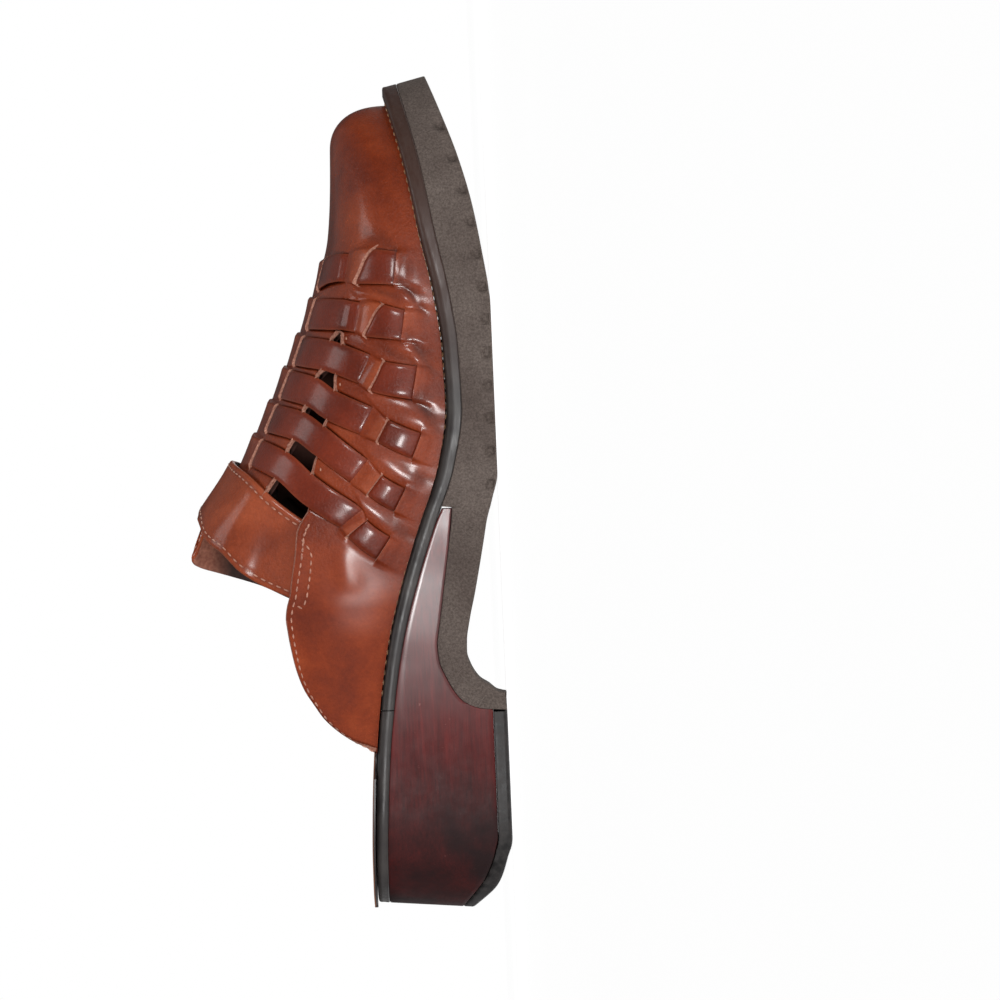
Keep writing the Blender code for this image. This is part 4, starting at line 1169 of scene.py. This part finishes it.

# ---- Floor, light and camera ----
# Pale studio floor that glows as painted light, dimmer near the shoe like a soft painted shadow and
# white further off; a white surround, soft flash-like lights beside the camera, one over the toe and a
# broad overhead light. The camera is just above the floor, level with the ball, turned so the toe is up.
FLOOR_NEAR, FLOOR_FAR, GLOW_NEAR, GLOW_FAR = 0.30, 1.10, 0.68, 0.80
glowing_floor, tree, where = new_finish("matt_glowing_floor", Roughness=0.95, Specular_IOR_Level=0.1,
                                       Emission_Color="#ffffff")
cloud = add(tree, "TexNoise", {"Vector": where, "Scale": 3.0})
tone = add(tree, "ValToRGB", {0: cloud}, stops=((0.0, "#dedede"), (1.0, "#e4e4e4")))
# The floor's glow is painted light, weaker near the shoe as a soft painted shadow.
away = add(tree, "VectorMath", {0: where}, "Value", operation='LENGTH')
glow = add(tree, "MapRange", {0: away, 1: FLOOR_NEAR, 2: FLOOR_FAR, 3: GLOW_NEAR, 4: GLOW_FAR},
           interpolation_type='SMOOTHSTEP')
dress(tree, Base_Color=tone, Emission_Strength=glow)
work = bmesh.new()
bmesh.ops.create_grid(work, x_segments=1, y_segments=1, size=40.0)
mesh = bpy.data.meshes.new("floor")
work.to_mesh(mesh)
work.free()
mesh.materials.append(glowing_floor)
floor = put_in_scene("floor", mesh)

world = bpy.data.worlds.new("studio")
bpy.context.scene.world = world
world.use_nodes = True
tree = world.node_tree
tree.nodes.clear()
seen = add(tree, "LightPath", {}, "Is Camera Ray")
white = add(tree, "Background", {"Color": "#ffffff", "Strength": 1.0})
around = add(tree, "Background", {"Color": "#ffffff", "Strength": 0.09})
both = add(tree, "MixShader", {0: seen, 1: around, 2: white})
plug(tree.nodes.new("ShaderNodeOutputWorld"), {0: both})
bpy.context.scene.view_settings.view_transform = 'Standard'

for name, place, aim_height, size, power in (
        ("flash", (-1.32, 0.44, 0.20), 0.05, 0.18, 12.0),
        ("toe_side", (-1.22, -0.56, 0.22), 0.05, 0.20, 7.0),
        ("high_side", (-0.15, -0.38, 1.2), 0.07, 0.40, 2.6)):
    light = bpy.data.lights.new(name, 'AREA')
    light.size, light.energy = size, power
    lamp = put_in_scene(name, light)
    lamp.location = place
    lamp.rotation_euler = (Vector((0, 0, aim_height)) - Vector(place)).to_track_quat('-Z', 'Y').to_euler()
even = bpy.data.lights.new("even_overhead", 'SUN')
even.energy, even.angle = 0.5, math.radians(120)
put_in_scene("even_overhead", even)

CAMERA_DISTANCE, CAMERA_ALONG, CAMERA_HEIGHT, LEAN, SHIFT = 4.0, 3.3 * MM, 4 * MM, 0.0418, 0.014076
NEAR_SIDE = 15 * MM                     # the shoe's near side, from its middle
FRAME_WIDTH, FILM_WIDTH = 1 / 3.157, 36   # the picture's width at that side in metres, the film's in mm
camera_data = bpy.data.cameras.new("camera")
camera_data.lens = FILM_WIDTH * (CAMERA_DISTANCE - NEAR_SIDE) / FRAME_WIDTH
camera_data.clip_start = 0.005
camera_data.shift_x = SHIFT
camera = put_in_scene("camera", camera_data)
right = Vector((0, LEAN, -1)).normalized()
up = Vector((0, -1, -LEAN)).normalized()
turned = Matrix((right, up, right.cross(up))).transposed()
camera.matrix_world = Matrix.Translation((-CAMERA_DISTANCE, CAMERA_ALONG, CAMERA_HEIGHT)) @ turned.to_4x4()
bpy.context.scene.camera = camera
